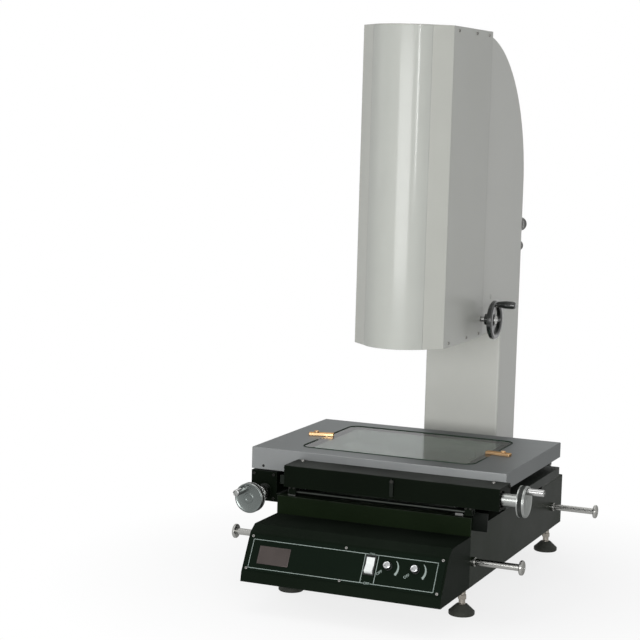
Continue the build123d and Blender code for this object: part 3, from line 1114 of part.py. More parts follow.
with BuildPart() as z_handwheel:
    with BuildSketch(Z_WHEEL_PLANE) as rim_ring:
        Circle(Z_WHEEL_RADIUS)
        Circle(Z_WHEEL_RIM_INNER, mode=Mode.SUBTRACT)
    extrude(rim_ring.sketch, amount=Z_WHEEL_RIM)
    chamfer(z_handwheel.edges().filter_by(GeomType.CIRCLE), 2.4)
    turned(Z_WHEEL_PLANE, Z_WHEEL_HUB_RADIUS, Z_HUB_START, Z_WHEEL_WEB + 2.0)
    with BuildSketch(Z_WHEEL_PLANE) as spokes:
        Rectangle(Z_SPOKE_WIDTH, 2 * Z_WHEEL_RIM_INNER + 3.0)
        Rectangle(2 * Z_WHEEL_RIM_INNER + 3.0, Z_SPOKE_WIDTH * 0.7)
    extrude(spokes.sketch, amount=Z_WHEEL_WEB)
    turned(Z_WHEEL_PLANE, GRIP_PIN_RADIUS, Z_WHEEL_WEB, Z_WHEEL_RIM + Z_GRIP_LENGTH - 4.0, Z_PIN)
    turned(Z_WHEEL_PLANE, Z_SHAFT_RADIUS, Z_HUB_START, Z_HUB_START + 8.0, mode=Mode.SUBTRACT)
finish(z_handwheel, "z_handwheel")

with BuildPart() as z_crank_grip:
    with BuildSketch(Plane(origin=Z_WHEEL_PLANE.from_local_coords((*Z_PIN, Z_WHEEL_RIM + GAP)),
                           x_dir=(0, 0, 1), z_dir=(0, 1, 0))) as grip_half:
        with BuildLine():
            Polyline((0, 0), (Z_GRIP_NECK_RADIUS, 0), (Z_GRIP_RADIUS, Z_GRIP_LENGTH * 0.45),
                     (Z_GRIP_RADIUS, Z_GRIP_LENGTH * 0.75), (Z_GRIP_RADIUS - 0.5, Z_GRIP_LENGTH - 2.0),
                     (Z_GRIP_RADIUS - 2.5, Z_GRIP_LENGTH), (0, Z_GRIP_LENGTH), close=True)
        make_face()
    revolve(grip_half.sketch, Axis(Z_WHEEL_PLANE.from_local_coords((*Z_PIN, 0)), (1, 0, 0)))
    turned(Z_WHEEL_PLANE, GRIP_PIN_RADIUS + RUN, Z_WHEEL_RIM, Z_WHEEL_RIM + Z_GRIP_LENGTH - 3.0, Z_PIN, Mode.SUBTRACT)
finish(z_crank_grip, "z_crank_grip")

# Optics: zoom lens with its turning ring, ring light, camera and the bracket that clamps the lens
LENS_SHOULDER = LENS_FRONT + LENS_FRONT_HEIGHT
LENS_NECK_TOP = LENS_SHOULDER + LENS_NECK_HEIGHT
LENS_BODY_TOP = LENS_NECK_TOP + 20.0 + LENS_BODY_HEIGHT
CAMERA_BOTTOM = LENS_BODY_TOP + LENS_TUBE_HEIGHT

with BuildPart() as zoom_lens:
    bar_z(0, 0, (LENS_FRONT, LENS_SHOULDER), LENS_FRONT_RADIUS)
    bar_z(0, 0, (LENS_SHOULDER, LENS_NECK_TOP), LENS_NECK_RADIUS)
    bar_z(0, 0, (LENS_NECK_TOP, LENS_BODY_TOP), LENS_BODY_RADIUS)
    bar_z(0, 0, (LENS_BODY_TOP, CAMERA_BOTTOM), LENS_TUBE_RADIUS)
    bar_z(0, 0, (LENS_FRONT, LENS_FRONT + LENS_BORE_DEPTH), LENS_BORE_RADIUS, Mode.SUBTRACT)
finish(zoom_lens, "zoom_lens")

with BuildPart() as zoom_ring:
    ring_bottom = LENS_SHOULDER + (LENS_NECK_HEIGHT - ZOOM_RING_HEIGHT) / 2
    bar_z(0, 0, (ring_bottom, ring_bottom + ZOOM_RING_HEIGHT), ZOOM_RING_RADIUS)
    chamfer(zoom_ring.edges(), 1.5)
    bar_z(0, 0, (ring_bottom, ring_bottom + ZOOM_RING_HEIGHT), LENS_NECK_RADIUS + RUN, Mode.SUBTRACT)
finish(zoom_ring, "zoom_ring")

with BuildPart() as ring_light:
    bar_z(0, 0, (LENS_FRONT + 2.0, LENS_FRONT + 2.0 + RING_LIGHT_HEIGHT), RING_LIGHT_RADIUS)
    chamfer(ring_light.edges().group_by(Axis.Z)[-1], 3.0)
    bar_z(0, 0, (LENS_FRONT + 2.0, LENS_FRONT + 2.0 + RING_LIGHT_HEIGHT), LENS_FRONT_RADIUS, Mode.SUBTRACT)
    chamfer(ring_light.edges().group_by(Axis.Z)[0].sort_by(SortBy.RADIUS)[0], RING_LIGHT_CONE)
finish(ring_light, "ring_light")

with BuildPart() as lens_bracket:
    bar_z(0, 0, BRACKET_Z, LENS_BODY_RADIUS + BRACKET_CLAMP_WALL)
    with BuildSketch(level(BRACKET_Z[0])) as arm_plan:
        with BuildLine():
            Polyline((-BRACKET_WIDTH / 2, 0), (BRACKET_WIDTH / 2, 0), (BRACKET_WIDTH / 2, Z_CARRIAGE_FRONT - 30.0),
                     (BRACKET_FOOT_WIDTH / 2, Z_CARRIAGE_FRONT - BRACKET_FOOT),
                     (BRACKET_FOOT_WIDTH / 2, Z_CARRIAGE_FRONT), (-BRACKET_FOOT_WIDTH / 2, Z_CARRIAGE_FRONT),
                     (-BRACKET_FOOT_WIDTH / 2, Z_CARRIAGE_FRONT - BRACKET_FOOT),
                     (-BRACKET_WIDTH / 2, Z_CARRIAGE_FRONT - 30.0), close=True)
        make_face()
    extrude(arm_plan.sketch, amount=BRACKET_Z[1] - BRACKET_Z[0])
    bar_z(0, 0, BRACKET_Z, LENS_BODY_RADIUS, Mode.SUBTRACT)
    block((-1.0, 1.0), (-LENS_BODY_RADIUS - BRACKET_CLAMP_WALL, -LENS_BODY_RADIUS + 2.0), BRACKET_Z, Mode.SUBTRACT)
finish(lens_bracket, "lens_bracket")

with BuildPart() as camera:
    with BuildSketch(level(CAMERA_BOTTOM)):
        RectangleRounded(CAMERA_SIDE, CAMERA_SIDE, 5.0)
    extrude(amount=CAMERA_HEIGHT)
    bar_z(0, 0, (CAMERA_BOTTOM + CAMERA_HEIGHT, CAMERA_BOTTOM + CAMERA_HEIGHT + CAMERA_PLUG), CAMERA_PLUG_RADIUS)
finish(camera, "camera")

# Sockets: camera and scale sockets on the column's back, mains inlet on the base's back
with BuildPart() as rear_sockets:
    for socket_z, socket_radius, socket_length in CAMERA_SOCKET:
        bar_y(CAMERA_SOCKET_X, (COLUMN_REAR, COLUMN_REAR + socket_length), socket_z, socket_radius)
    block((INLET_X - INLET_WIDTH / 2, INLET_X + INLET_WIDTH / 2), (BASE_REAR, BASE_REAR + INLET_DEPTH),
          (INLET_Z - INLET_HEIGHT / 2, INLET_Z + INLET_HEIGHT / 2))
finish(rear_sockets, "rear_sockets")
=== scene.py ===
import math

import bmesh
import bpy
from mathutils import Matrix, Vector


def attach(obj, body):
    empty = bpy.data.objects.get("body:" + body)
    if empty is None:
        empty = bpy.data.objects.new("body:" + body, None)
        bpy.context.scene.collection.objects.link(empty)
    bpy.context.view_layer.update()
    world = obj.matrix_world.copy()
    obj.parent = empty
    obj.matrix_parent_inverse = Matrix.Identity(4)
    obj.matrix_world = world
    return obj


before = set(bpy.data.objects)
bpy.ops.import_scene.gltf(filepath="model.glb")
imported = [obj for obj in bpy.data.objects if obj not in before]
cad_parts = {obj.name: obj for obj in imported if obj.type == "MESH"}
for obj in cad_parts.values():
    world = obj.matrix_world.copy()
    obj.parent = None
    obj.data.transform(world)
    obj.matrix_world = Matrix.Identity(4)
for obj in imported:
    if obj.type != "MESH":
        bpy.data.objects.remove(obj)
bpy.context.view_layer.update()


# Camera: a 100 mm lens a little over three metres away, to the right of the machine's front and
# slightly above its stage, held a degree and a half out of level as the photographer held it.

def stand(x, y, z):
    """A place counted in millimetres from the optical axis and the bench, in the frame's metres."""
    return Vector(((x - 24.0) / 1000, (y - 57.0) / 1000, z / 1000))


def placed_at(x, y, z):
    """The matrix that moves a piece there."""
    return Matrix.Translation(stand(x, y, z))


camera_data = bpy.data.cameras.new("camera")
camera_data.lens = 100.5
camera_data.sensor_width = 36.0
camera_data.clip_end = 60.0
camera = bpy.data.objects.new("camera", camera_data)
bpy.context.scene.collection.objects.link(camera)
look = Vector((-0.389033, 0.913768, -0.116969)).normalized()
level_right = look.cross(Vector((0, 0, 1))).normalized()
level_up = level_right.cross(look)
roll = math.radians(1.59)
camera_right = level_right * math.cos(roll) + level_up * math.sin(roll)
camera_up = level_up * math.cos(roll) - level_right * math.sin(roll)
camera_turn = Matrix((camera_right, camera_up, -look)).transposed().to_4x4()
camera.matrix_world = placed_at(1160.75, -3182.03, 905.05) @ camera_turn
bpy.context.scene.camera = camera


# Studio: a pale bench top that runs off to the horizon, one broad lamp low in front, a narrow one by
# the camera, weaker ones on the left, above and behind, and an even pale room.

def new_material(name):
    """A material that holds nothing but its surface shader."""
    material = bpy.data.materials.new(name)
    material.use_nodes = True
    tree = material.node_tree
    return material, tree.nodes, tree.links, tree.nodes["Principled BSDF"]


def seen_white(nodes, links):
    """One for the rays of the camera, of a reflection and of glass, which all show the white background."""
    path = nodes.new("ShaderNodeLightPath")
    mirrored, seen = nodes.new("ShaderNodeMath"), nodes.new("ShaderNodeMath")
    mirrored.operation = seen.operation = "MAXIMUM"
    links.new(path.outputs["Is Glossy Ray"], mirrored.inputs[0])
    links.new(path.outputs["Is Transmission Ray"], mirrored.inputs[1])
    links.new(path.outputs["Is Camera Ray"], seen.inputs[0])
    links.new(mirrored.outputs[0], seen.inputs[1])
    return seen.outputs[0]


def deselect():
    """Leave nothing selected, so that an operator acts on the new piece alone."""
    bpy.ops.object.select_all(action="DESELECT")


deselect()
bpy.ops.mesh.primitive_plane_add(size=60.0)
bench = bpy.context.active_object
bench.name = "bench_top"
bench_paint, bench_nodes, bench_links, bench_shader = new_material("bench_top")
bench_shader.inputs["Base Color"].default_value = (0.80, 0.80, 0.79, 1)
bench_shader.inputs["Roughness"].default_value = 0.85
bench_shader.inputs["Specular IOR Level"].default_value = 0.1
bench_white = bench_nodes.new("ShaderNodeEmission")
bench_place = bench_nodes.new("ShaderNodeTexCoord")
bench_reach = bench_nodes.new("ShaderNodeVectorMath")
bench_reach.operation = "LENGTH"
bench_share = bench_nodes.new("ShaderNodeMapRange")
for socket, value in ((1, 0.30), (2, 0.75), (3, 0.80)):
    bench_share.inputs[socket].default_value = value
bench_seen = bench_nodes.new("ShaderNodeMath")
bench_seen.operation = "MULTIPLY"
bench_mix = bench_nodes.new("ShaderNodeMixShader")
bench_links.new(bench_place.outputs["Object"], bench_reach.inputs[0])
bench_links.new(bench_reach.outputs["Value"], bench_share.inputs[0])
bench_links.new(bench_share.outputs[0], bench_seen.inputs[0])
bench_links.new(seen_white(bench_nodes, bench_links), bench_seen.inputs[1])
bench_links.new(bench_seen.outputs[0], bench_mix.inputs["Fac"])
bench_links.new(bench_shader.outputs["BSDF"], bench_mix.inputs[1])
bench_links.new(bench_white.outputs["Emission"], bench_mix.inputs[2])
bench_links.new(bench_mix.outputs["Shader"], bench_nodes["Material Output"].inputs["Surface"])
bench.data.materials.append(bench_paint)

room = bpy.data.worlds.new("room")
bpy.context.scene.world = room
room.use_nodes = True
room_nodes, room_links = room.node_tree.nodes, room.node_tree.links
room_light = room_nodes["Background"]
room_light.inputs["Color"].default_value = (0.93, 0.95, 1.0, 1)
room_light.inputs["Strength"].default_value = 0.36
room_seen = room_nodes.new("ShaderNodeBackground")
room_seen.inputs["Color"].default_value = (1, 1, 1, 1)
room_mix = room_nodes.new("ShaderNodeMixShader")
room_links.new(seen_white(room_nodes, room_links), room_mix.inputs["Fac"])
room_links.new(room_light.outputs["Background"], room_mix.inputs[1])
room_links.new(room_seen.outputs["Background"], room_mix.inputs[2])
room_links.new(room_mix.outputs["Shader"], room_nodes["World Output"].inputs["Surface"])

LAMPS = (
    ("lamp_in_front", (0.6, -3.3, 0.70), (2.2, 0.9), 90.0),
    ("lamp_by_camera", (2.3, -2.35, 0.98), (0.12, 0.6), 16.0),
    ("lamp_left", (-2.9, -1.2, 1.5), (1.4, 2.0), 12.0),
    ("lamp_above", (-0.2, -0.6, 3.4), (2.2, 2.2), 24.0),
    ("lamp_behind", (-0.8, 3.2, 2.0), (1.6, 1.6), 14.0),
)
for lamp_name, lamp_place, lamp_size, lamp_power in LAMPS:
    lamp_data = bpy.data.lights.new(lamp_name, "AREA")
    lamp_data.shape = "RECTANGLE"
    lamp_data.size, lamp_data.size_y = lamp_size
    lamp_data.energy = lamp_power
    lamp = bpy.data.objects.new(lamp_name, lamp_data)
    bpy.context.scene.collection.objects.link(lamp)
    lamp.location = lamp_place
    lamp.rotation_euler = (Vector((0, -0.05, 0.5)) - Vector(lamp_place)).to_track_quat("-Z", "Y").to_euler()
bpy.context.scene.view_settings.view_transform = "Standard"


# Base casting: a grey iron box with a raised bed, painted in dark green-black machine enamel whose
# film pits slightly over the sand-cast skin. Its edges are lighter, partly where the film is worn thin
# and partly as a painted highlight.

def effect(name, inputs, outputs):
    """An empty effect group with named sockets: (name, kind, value) going in, (name, kind) coming out."""
    group = bpy.data.node_groups.new(name, "ShaderNodeTree")
    for label, kind, value in inputs:
        group.interface.new_socket(name=label, in_out="INPUT", socket_type=kind).default_value = value
    for label, kind in outputs:
        group.interface.new_socket(name=label, in_out="OUTPUT", socket_type=kind)
    return group, group.nodes.new("NodeGroupInput").outputs, group.nodes.new("NodeGroupOutput").inputs


def put(tree, kind, **settings):
    """A node with its settings; a name that is a socket's number sets that socket."""
    node = tree.nodes.new(kind)
    for key, value in settings.items():
        if key.startswith("in_"):
            node.inputs[int(key[3:])].default_value = value
        else:
            setattr(node, key, value)
    return node


FLOAT, COLOUR, VECTOR = "NodeSocketFloat", "NodeSocketColor", "NodeSocketVector"

# Edges: a lighter colour laid along them and broken up by noise stands partly for wear and partly for a
# painted highlight on the edges.
worn_and_highlit_edges, edge_in, edge_out = effect("worn_and_highlit_edges", (
    ("Colour", COLOUR, (0.5, 0.5, 0.5, 1)), ("Bare and highlight colour", COLOUR, (0.7, 0.7, 0.7, 1)),
    ("Edge radius", FLOAT, 0.0012), ("Amount", FLOAT, 0.5)),
    (("Colour", COLOUR), ("Edge", FLOAT), ("Normal", VECTOR)))
edge_round = put(worn_and_highlit_edges, "ShaderNodeBevel", samples=6)
edge_flat = put(worn_and_highlit_edges, "ShaderNodeNewGeometry")
edge_dot = put(worn_and_highlit_edges, "ShaderNodeVectorMath", operation="DOT_PRODUCT")
edge_ramp = put(worn_and_highlit_edges, "ShaderNodeMapRange", in_1=0.995, in_2=0.82)
edge_place = put(worn_and_highlit_edges, "ShaderNodeTexCoord")
edge_noise = put(worn_and_highlit_edges, "ShaderNodeTexNoise", in_2=90.0, in_3=6.0, in_4=0.7)
edge_break = put(worn_and_highlit_edges, "ShaderNodeMapRange", in_1=0.38, in_2=0.62)
edge_breakup_mask = put(worn_and_highlit_edges, "ShaderNodeMath", operation="MULTIPLY")
edge_wear_and_highlight = put(worn_and_highlit_edges, "ShaderNodeMath", operation="MULTIPLY")
edge_wear_and_highlight_mix = put(worn_and_highlit_edges, "ShaderNodeMix", data_type="RGBA")
for source, target in (
        (edge_in["Edge radius"], edge_round.inputs["Radius"]), (edge_round.outputs[0], edge_dot.inputs[0]),
        (edge_flat.outputs["Normal"], edge_dot.inputs[1]), (edge_dot.outputs["Value"], edge_ramp.inputs[0]),
        (edge_place.outputs["Object"], edge_noise.inputs["Vector"]),
        (edge_noise.outputs[0], edge_break.inputs[0]),
        (edge_ramp.outputs[0], edge_breakup_mask.inputs[0]), (edge_break.outputs[0], edge_breakup_mask.inputs[1]),
        (edge_breakup_mask.outputs[0], edge_wear_and_highlight.inputs[0]), (edge_in["Amount"], edge_wear_and_highlight.inputs[1]),
        (edge_wear_and_highlight.outputs[0], edge_wear_and_highlight_mix.inputs["Factor"]), (edge_in["Colour"], edge_wear_and_highlight_mix.inputs[6]),
        (edge_in["Bare and highlight colour"], edge_wear_and_highlight_mix.inputs[7]), (edge_wear_and_highlight_mix.outputs[2], edge_out["Colour"]),
        (edge_wear_and_highlight.outputs[0], edge_out["Edge"]), (edge_round.outputs[0], edge_out["Normal"])):
    worn_and_highlit_edges.links.new(source, target)

paint_skin, skin_in, skin_out = effect("paint_skin", (
    ("Colour", COLOUR, (0.5, 0.5, 0.5, 1)), ("Grain size", FLOAT, 400.0), ("Mottle", FLOAT, 0.1),
    ("Gloss change", FLOAT, 0.05), ("Roughness", FLOAT, 0.4), ("Dust and sheen", FLOAT, 0.0)),
    (("Colour", COLOUR), ("Roughness", FLOAT), ("Height", FLOAT)))
skin_place = put(paint_skin, "ShaderNodeTexCoord")
skin_fine = put(paint_skin, "ShaderNodeTexNoise", in_3=3.0, in_4=0.55)
skin_wide = put(paint_skin, "ShaderNodeTexNoise", in_2=9.0, in_3=4.0, in_4=0.6)
skin_swing = put(paint_skin, "ShaderNodeMapRange", in_1=0.25, in_2=0.75, in_3=-1.0)
skin_shade = put(paint_skin, "ShaderNodeMath", operation="MULTIPLY_ADD", in_2=1.0)
skin_tint = put(paint_skin, "ShaderNodeVectorMath", operation="SCALE")
skin_rough = put(paint_skin, "ShaderNodeMath", operation="MULTIPLY_ADD")
skin_normal = put(paint_skin, "ShaderNodeNewGeometry")
skin_axis = put(paint_skin, "ShaderNodeSeparateXYZ")
# Faces that look up turn towards a light grey and more matt: partly settled dust, partly a painted sheen of
# the light they catch.
skin_up = put(paint_skin, "ShaderNodeMapRange", in_1=0.55, in_2=0.98)
skin_fleck = put(paint_skin, "ShaderNodeMapRange", in_1=0.35, in_2=0.7, in_3=0.35)
skin_dust_and_sheen_mask = put(paint_skin, "ShaderNodeMath", operation="MULTIPLY")
skin_dust_and_sheen = put(paint_skin, "ShaderNodeMath", operation="MULTIPLY")
skin_matt = put(paint_skin, "ShaderNodeMath", operation="MULTIPLY_ADD", in_1=0.3)
skin_mix = put(paint_skin, "ShaderNodeMix", data_type="RGBA")
skin_mix.inputs[7].default_value = (0.34, 0.35, 0.33, 1)
for source, target in (
        (skin_place.outputs["Object"], skin_fine.inputs["Vector"]),
        (skin_place.outputs["Object"], skin_wide.inputs["Vector"]),
        (skin_in["Grain size"], skin_fine.inputs["Scale"]), (skin_wide.outputs[0], skin_swing.inputs[0]),
        (skin_swing.outputs[0], skin_shade.inputs[0]), (skin_in["Mottle"], skin_shade.inputs[1]),
        (skin_in["Colour"], skin_tint.inputs[0]), (skin_shade.outputs[0], skin_tint.inputs["Scale"]),
        (skin_swing.outputs[0], skin_rough.inputs[0]), (skin_in["Gloss change"], skin_rough.inputs[1]),
        (skin_in["Roughness"], skin_rough.inputs[2]), (skin_normal.outputs["Normal"], skin_axis.inputs[0]),
        (skin_axis.outputs["Z"], skin_up.inputs[0]), (skin_wide.outputs[0], skin_fleck.inputs[0]),
        (skin_up.outputs[0], skin_dust_and_sheen_mask.inputs[0]), (skin_fleck.outputs[0], skin_dust_and_sheen_mask.inputs[1]),
        (skin_dust_and_sheen_mask.outputs[0], skin_dust_and_sheen.inputs[0]), (skin_in["Dust and sheen"], skin_dust_and_sheen.inputs[1]),
        (skin_dust_and_sheen.outputs[0], skin_mix.inputs["Factor"]), (skin_tint.outputs[0], skin_mix.inputs[6]),
        (skin_mix.outputs[2], skin_out["Colour"]), (skin_dust_and_sheen_mask.outputs[0], skin_matt.inputs[0]),
        (skin_rough.outputs[0], skin_matt.inputs[2]), (skin_matt.outputs[0], skin_out["Roughness"]),
        (skin_fine.outputs[0], skin_out["Height"])):
    paint_skin.links.new(source, target)


def worn_and_highlit_surface(name, skin_group, skin_values, bare_and_highlight, edge, wear_and_highlight, bump, depth):
    """A material whose colour, gloss and grain come from a group, and whose edges are lighter, as wear and as
    painted highlight.
    """
    material, nodes, links, shader = new_material(name)
    skin, edges = nodes.new("ShaderNodeGroup"), nodes.new("ShaderNodeGroup")
    skin.node_tree, edges.node_tree = skin_group, worn_and_highlit_edges
    relief = nodes.new("ShaderNodeBump")
    for node, values in (
            (skin, skin_values),
            (edges, {"Bare and highlight colour": (*bare_and_highlight, 1), "Edge radius": edge, "Amount": wear_and_highlight}),
            (relief, {"Strength": bump, "Distance": depth})):
        for socket, value in values.items():
            node.inputs[socket].default_value = value
    for source, target in (
            (skin.outputs["Colour"], edges.inputs["Colour"]),
            (edges.outputs["Colour"], shader.inputs["Base Color"]),
            (skin.outputs["Roughness"], shader.inputs["Roughness"]),
            (skin.outputs["Height"], relief.inputs["Height"]),
            (edges.outputs["Normal"], relief.inputs["Normal"]),
            (relief.outputs["Normal"], shader.inputs["Normal"])):
        links.new(source, target)
    return material, shader


def painted(name, colour, bare_and_highlight, roughness, grain, bump, mottle=0.10, dust_and_sheen=0.0, edge=0.0012, wear_and_highlight=0.35,
            coat=0.0, shine=0.5):
    """Paint over metal, with its mottle and grain, and dust and a painted sheen on faces that look up."""
    material, shader = worn_and_highlit_surface(name, paint_skin, {
        "Colour": (*colour, 1), "Grain size": grain, "Mottle": mottle, "Roughness": roughness,
        "Dust and sheen": dust_and_sheen}, bare_and_highlight, edge, wear_and_highlight, bump, 0.0004)
    shader.inputs["Specular IOR Level"].default_value = shine
    shader.inputs["Coat Weight"].default_value = coat
    shader.inputs["Coat Roughness"].default_value = 0.14
    return material


def dress(node, material):
    """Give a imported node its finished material."""
    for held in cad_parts[node].material_slots:
        held.material = material


machine_enamel = painted("machine_enamel", (0.0050, 0.0088, 0.0036), (0.10, 0.105, 0.10), 0.36, 520.0, 0.16,
                         mottle=0.16, dust_and_sheen=0.02, edge=0.0022, wear_and_highlight=0.42, shine=0.02)
dress("base_casting", machine_enamel)


# Levelling feet: a cone faced with black rubber, and a zinc-plated stud whose ball end sits in it. The
# stud screws up into the base, and a thin nut locks it there.

def face_outwards():
    """Turn the faces of the edited piece outwards, and leave edit mode."""
    bpy.ops.mesh.select_all(action="SELECT")
    bpy.ops.mesh.normals_make_consistent(inside=False)
    bpy.ops.object.mode_set(mode="OBJECT")


def turn_up(outline, sides=40):
    """A turned piece on the Z axis, drawn out step by step through (radius, height) in millimetres."""
    deselect()
    radius, height = outline[0]
    bpy.ops.mesh.primitive_circle_add(vertices=sides, radius=radius / 1000, fill_type="NGON",
                                      location=(0, 0, height / 1000))
    piece = bpy.context.active_object
    bpy.ops.object.transform_apply()
    bpy.ops.object.mode_set(mode="EDIT")
    bpy.ops.mesh.select_all(action="SELECT")
    for next_radius, next_height in outline[1:]:
        rise = (next_height - height) / 1000
        bpy.ops.mesh.extrude_region_move(TRANSFORM_OT_translate={"value": (0, 0, rise)})
        grow = next_radius / radius
        bpy.ops.transform.resize(value=(grow, grow, 1), center_override=(0, 0, next_height / 1000))
        radius, height = next_radius, next_height
    face_outwards()
    return piece


def round_over(piece, width, segments):
    """Round the active piece's edges over, in millimetres."""
    rounding = piece.modifiers.new("rounding", "BEVEL")
    rounding.width = width / 1000
    rounding.segments = segments
    bpy.ops.object.modifier_apply(modifier="rounding")


def squared(size, centre=(0, 0, 0), bevel=0.4, segments=2):
    """A rectangular piece with its edges rounded over, in millimetres."""
    deselect()
    bpy.ops.mesh.primitive_cube_add(size=0.001, location=[c / 1000 for c in centre], scale=size)
    piece = bpy.context.active_object
    bpy.ops.object.transform_apply()
    if bevel:
        round_over(piece, bevel, segments)
    return piece


LEFT, RIGHT, FRONT, BACK, DOWN, UP = (-1, 0, 0), (1, 0, 0), (0, -1, 0), (0, 1, 0), (0, 0, -1), (0, 0, 1)


def facing(place, axis, spin=0.0):
    """The matrix that sets a piece made on the Z axis at a place, looking along an axis."""
    return (placed_at(*place) @ Vector(axis).to_track_quat("Z", "Y").to_matrix().to_4x4()
            @ Matrix.Rotation(math.radians(spin), 4, "Z"))


def select_only(pieces):
    """Select these pieces and nothing else, and make the first one active."""
    deselect()
    for piece in pieces:
        piece.select_set(True)
    bpy.context.view_layer.objects.active = pieces[0]


def join_pieces(pieces, name):
    """Join pieces whose places are already in their meshes, under one name."""
    select_only(pieces)
    if len(pieces) > 1:
        bpy.ops.object.join()
    pieces[0].name = pieces[0].data.name = name
    return pieces[0]


def set_out(piece, name, places):
    """Copy a piece to each place, every copy with its own mesh, and join the copies under one name."""
    copies = []
    for place in places:
        twin = piece.copy()
        twin.data = piece.data.copy()
        twin.data.transform(place)
        bpy.context.scene.collection.objects.link(twin)
        copies.append(twin)
    bpy.data.objects.remove(piece)
    return join_pieces(copies, name)


def fit(piece, body, material, angle=35):
    """Finish a piece: smooth it up to an angle, give it its material, and let it ride on its body."""
    select_only([piece])
    bpy.ops.object.shade_smooth_by_angle(angle=math.radians(angle))
    piece.data.materials.clear()
    piece.data.materials.append(material)
    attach(piece, body)


metal_grain, grain_in, grain_out = effect("metal_grain", (
    ("Colour", COLOUR, (0.6, 0.6, 0.6, 1)), ("Stretch", VECTOR, (60.0, 60.0, 60.0)),
    ("Variation", FLOAT, 0.1), ("Roughness", FLOAT, 0.3), ("Spread", FLOAT, 0.1)),
    (("Colour", COLOUR), ("Roughness", FLOAT), ("Height", FLOAT)))
grain_place = put(metal_grain, "ShaderNodeTexCoord")
grain_pull = put(metal_grain, "ShaderNodeVectorMath", operation="MULTIPLY")
grain_noise = put(metal_grain, "ShaderNodeTexNoise", in_2=10.0, in_3=5.0, in_4=0.65)
grain_smear = put(metal_grain, "ShaderNodeTexNoise", in_2=14.0, in_3=3.0, in_4=0.6)
grain_swing = put(metal_grain, "ShaderNodeMapRange", in_1=0.3, in_2=0.7, in_3=-1.0)
grain_haze = put(metal_grain, "ShaderNodeMapRange", in_1=0.3, in_2=0.7, in_3=-0.6, in_4=0.6)
grain_sum = put(metal_grain, "ShaderNodeMath", operation="ADD")
grain_shade = put(metal_grain, "ShaderNodeMath", operation="MULTIPLY_ADD", in_2=1.0)
grain_tint = put(metal_grain, "ShaderNodeVectorMath", operation="SCALE")
grain_rough = put(metal_grain, "ShaderNodeMath", operation="MULTIPLY_ADD")
for source, target in (
        (grain_place.outputs["Object"], grain_pull.inputs[0]), (grain_in["Stretch"], grain_pull.inputs[1]),
        (grain_pull.outputs[0], grain_noise.inputs["Vector"]),
        (grain_place.outputs["Object"], grain_smear.inputs["Vector"]),
        (grain_noise.outputs[0], grain_swing.inputs[0]), (grain_smear.outputs[0], grain_haze.inputs[0]),
        (grain_swing.outputs[0], grain_sum.inputs[0]), (grain_haze.outputs[0], grain_sum.inputs[1]),
        (grain_sum.outputs[0], grain_shade.inputs[0]), (grain_in["Variation"], grain_shade.inputs[1]),
        (grain_in["Colour"], grain_tint.inputs[0]), (grain_shade.outputs[0], grain_tint.inputs["Scale"]),
        (grain_sum.outputs[0], grain_rough.inputs[0]), (grain_in["Spread"], grain_rough.inputs[1]),
        (grain_in["Roughness"], grain_rough.inputs[2]), (grain_tint.outputs[0], grain_out["Colour"]),
        (grain_rough.outputs[0], grain_out["Roughness"]), (grain_noise.outputs[0], grain_out["Height"])):
    metal_grain.links.new(source, target)


def metal(name, colour, roughness, stretch, variation, spread, bump, edge=0.0006, metallic=1.0):
    """Bare or plated metal with its grinding or turning grain, and softly rounded edges painted lighter as
    wear and highlight.
    """
    bare_and_highlight = [min(1.0, part * 1.25) for part in colour]
    material, shader = worn_and_highlit_surface(name, metal_grain, {
        "Colour": (*colour, 1), "Stretch": stretch, "Variation": variation, "Roughness": roughness,
        "Spread": spread}, bare_and_highlight, edge, 0.35, bump, 0.0002)
    shader.inputs["Metallic"].default_value = metallic
    shader.inputs["Specular Tint"].default_value = (*(0.15 + 0.85 * part for part in colour), 1)
    return material


foot_rubber = painted("foot_rubber", (0.021, 0.023, 0.018), (0.06, 0.06, 0.058), 0.62, 700.0, 0.35,
                      mottle=0.22, dust_and_sheen=0.12, edge=0.0015, wear_and_highlight=0.3, shine=0.2)
zinc_plate = metal("zinc_plate", (0.27, 0.25, 0.22), 0.34, (40, 40, 160), 0.16, 0.08, 0.12)
dress("foot_pads", foot_rubber)
dress("foot_lock_nuts", zinc_plate)

FOOT_PLACES = ((-170.0, -160.0), (170.0, -160.0), (-170.0, 385.5), (170.0, 385.5))
STUD_RADIUS, THREAD_PITCH, THREAD_DEPTH = 6.0, 1.75, 0.45
THREAD_FOOT, THREAD_TOP = 37.2, 49.8
for foot_number, (foot_x, foot_y) in enumerate(FOOT_PLACES, start=1):
    dress(f"foot_stud_{foot_number}", zinc_plate)
    thread_outline = [(STUD_RADIUS - 0.05, THREAD_FOOT)]
    thread_turn = THREAD_FOOT
    while thread_turn + THREAD_PITCH < THREAD_TOP:
        thread_outline += [(STUD_RADIUS + THREAD_DEPTH, thread_turn + THREAD_PITCH * 0.42),
                           (STUD_RADIUS + THREAD_DEPTH, thread_turn + THREAD_PITCH * 0.58),
                           (STUD_RADIUS + 0.02, thread_turn + THREAD_PITCH)]
        thread_turn += THREAD_PITCH
    stud_thread = set_out(turn_up(thread_outline, 28), f"stud_thread_{foot_number}",
                          [placed_at(foot_x, foot_y, 0)])
    fit(stud_thread, f"foot_stud_{foot_number}", zinc_plate)


# Carrying bars: bright chromed rods with a turned stop flange at the end, screwed into the sides of
# the base to lift the machine by.

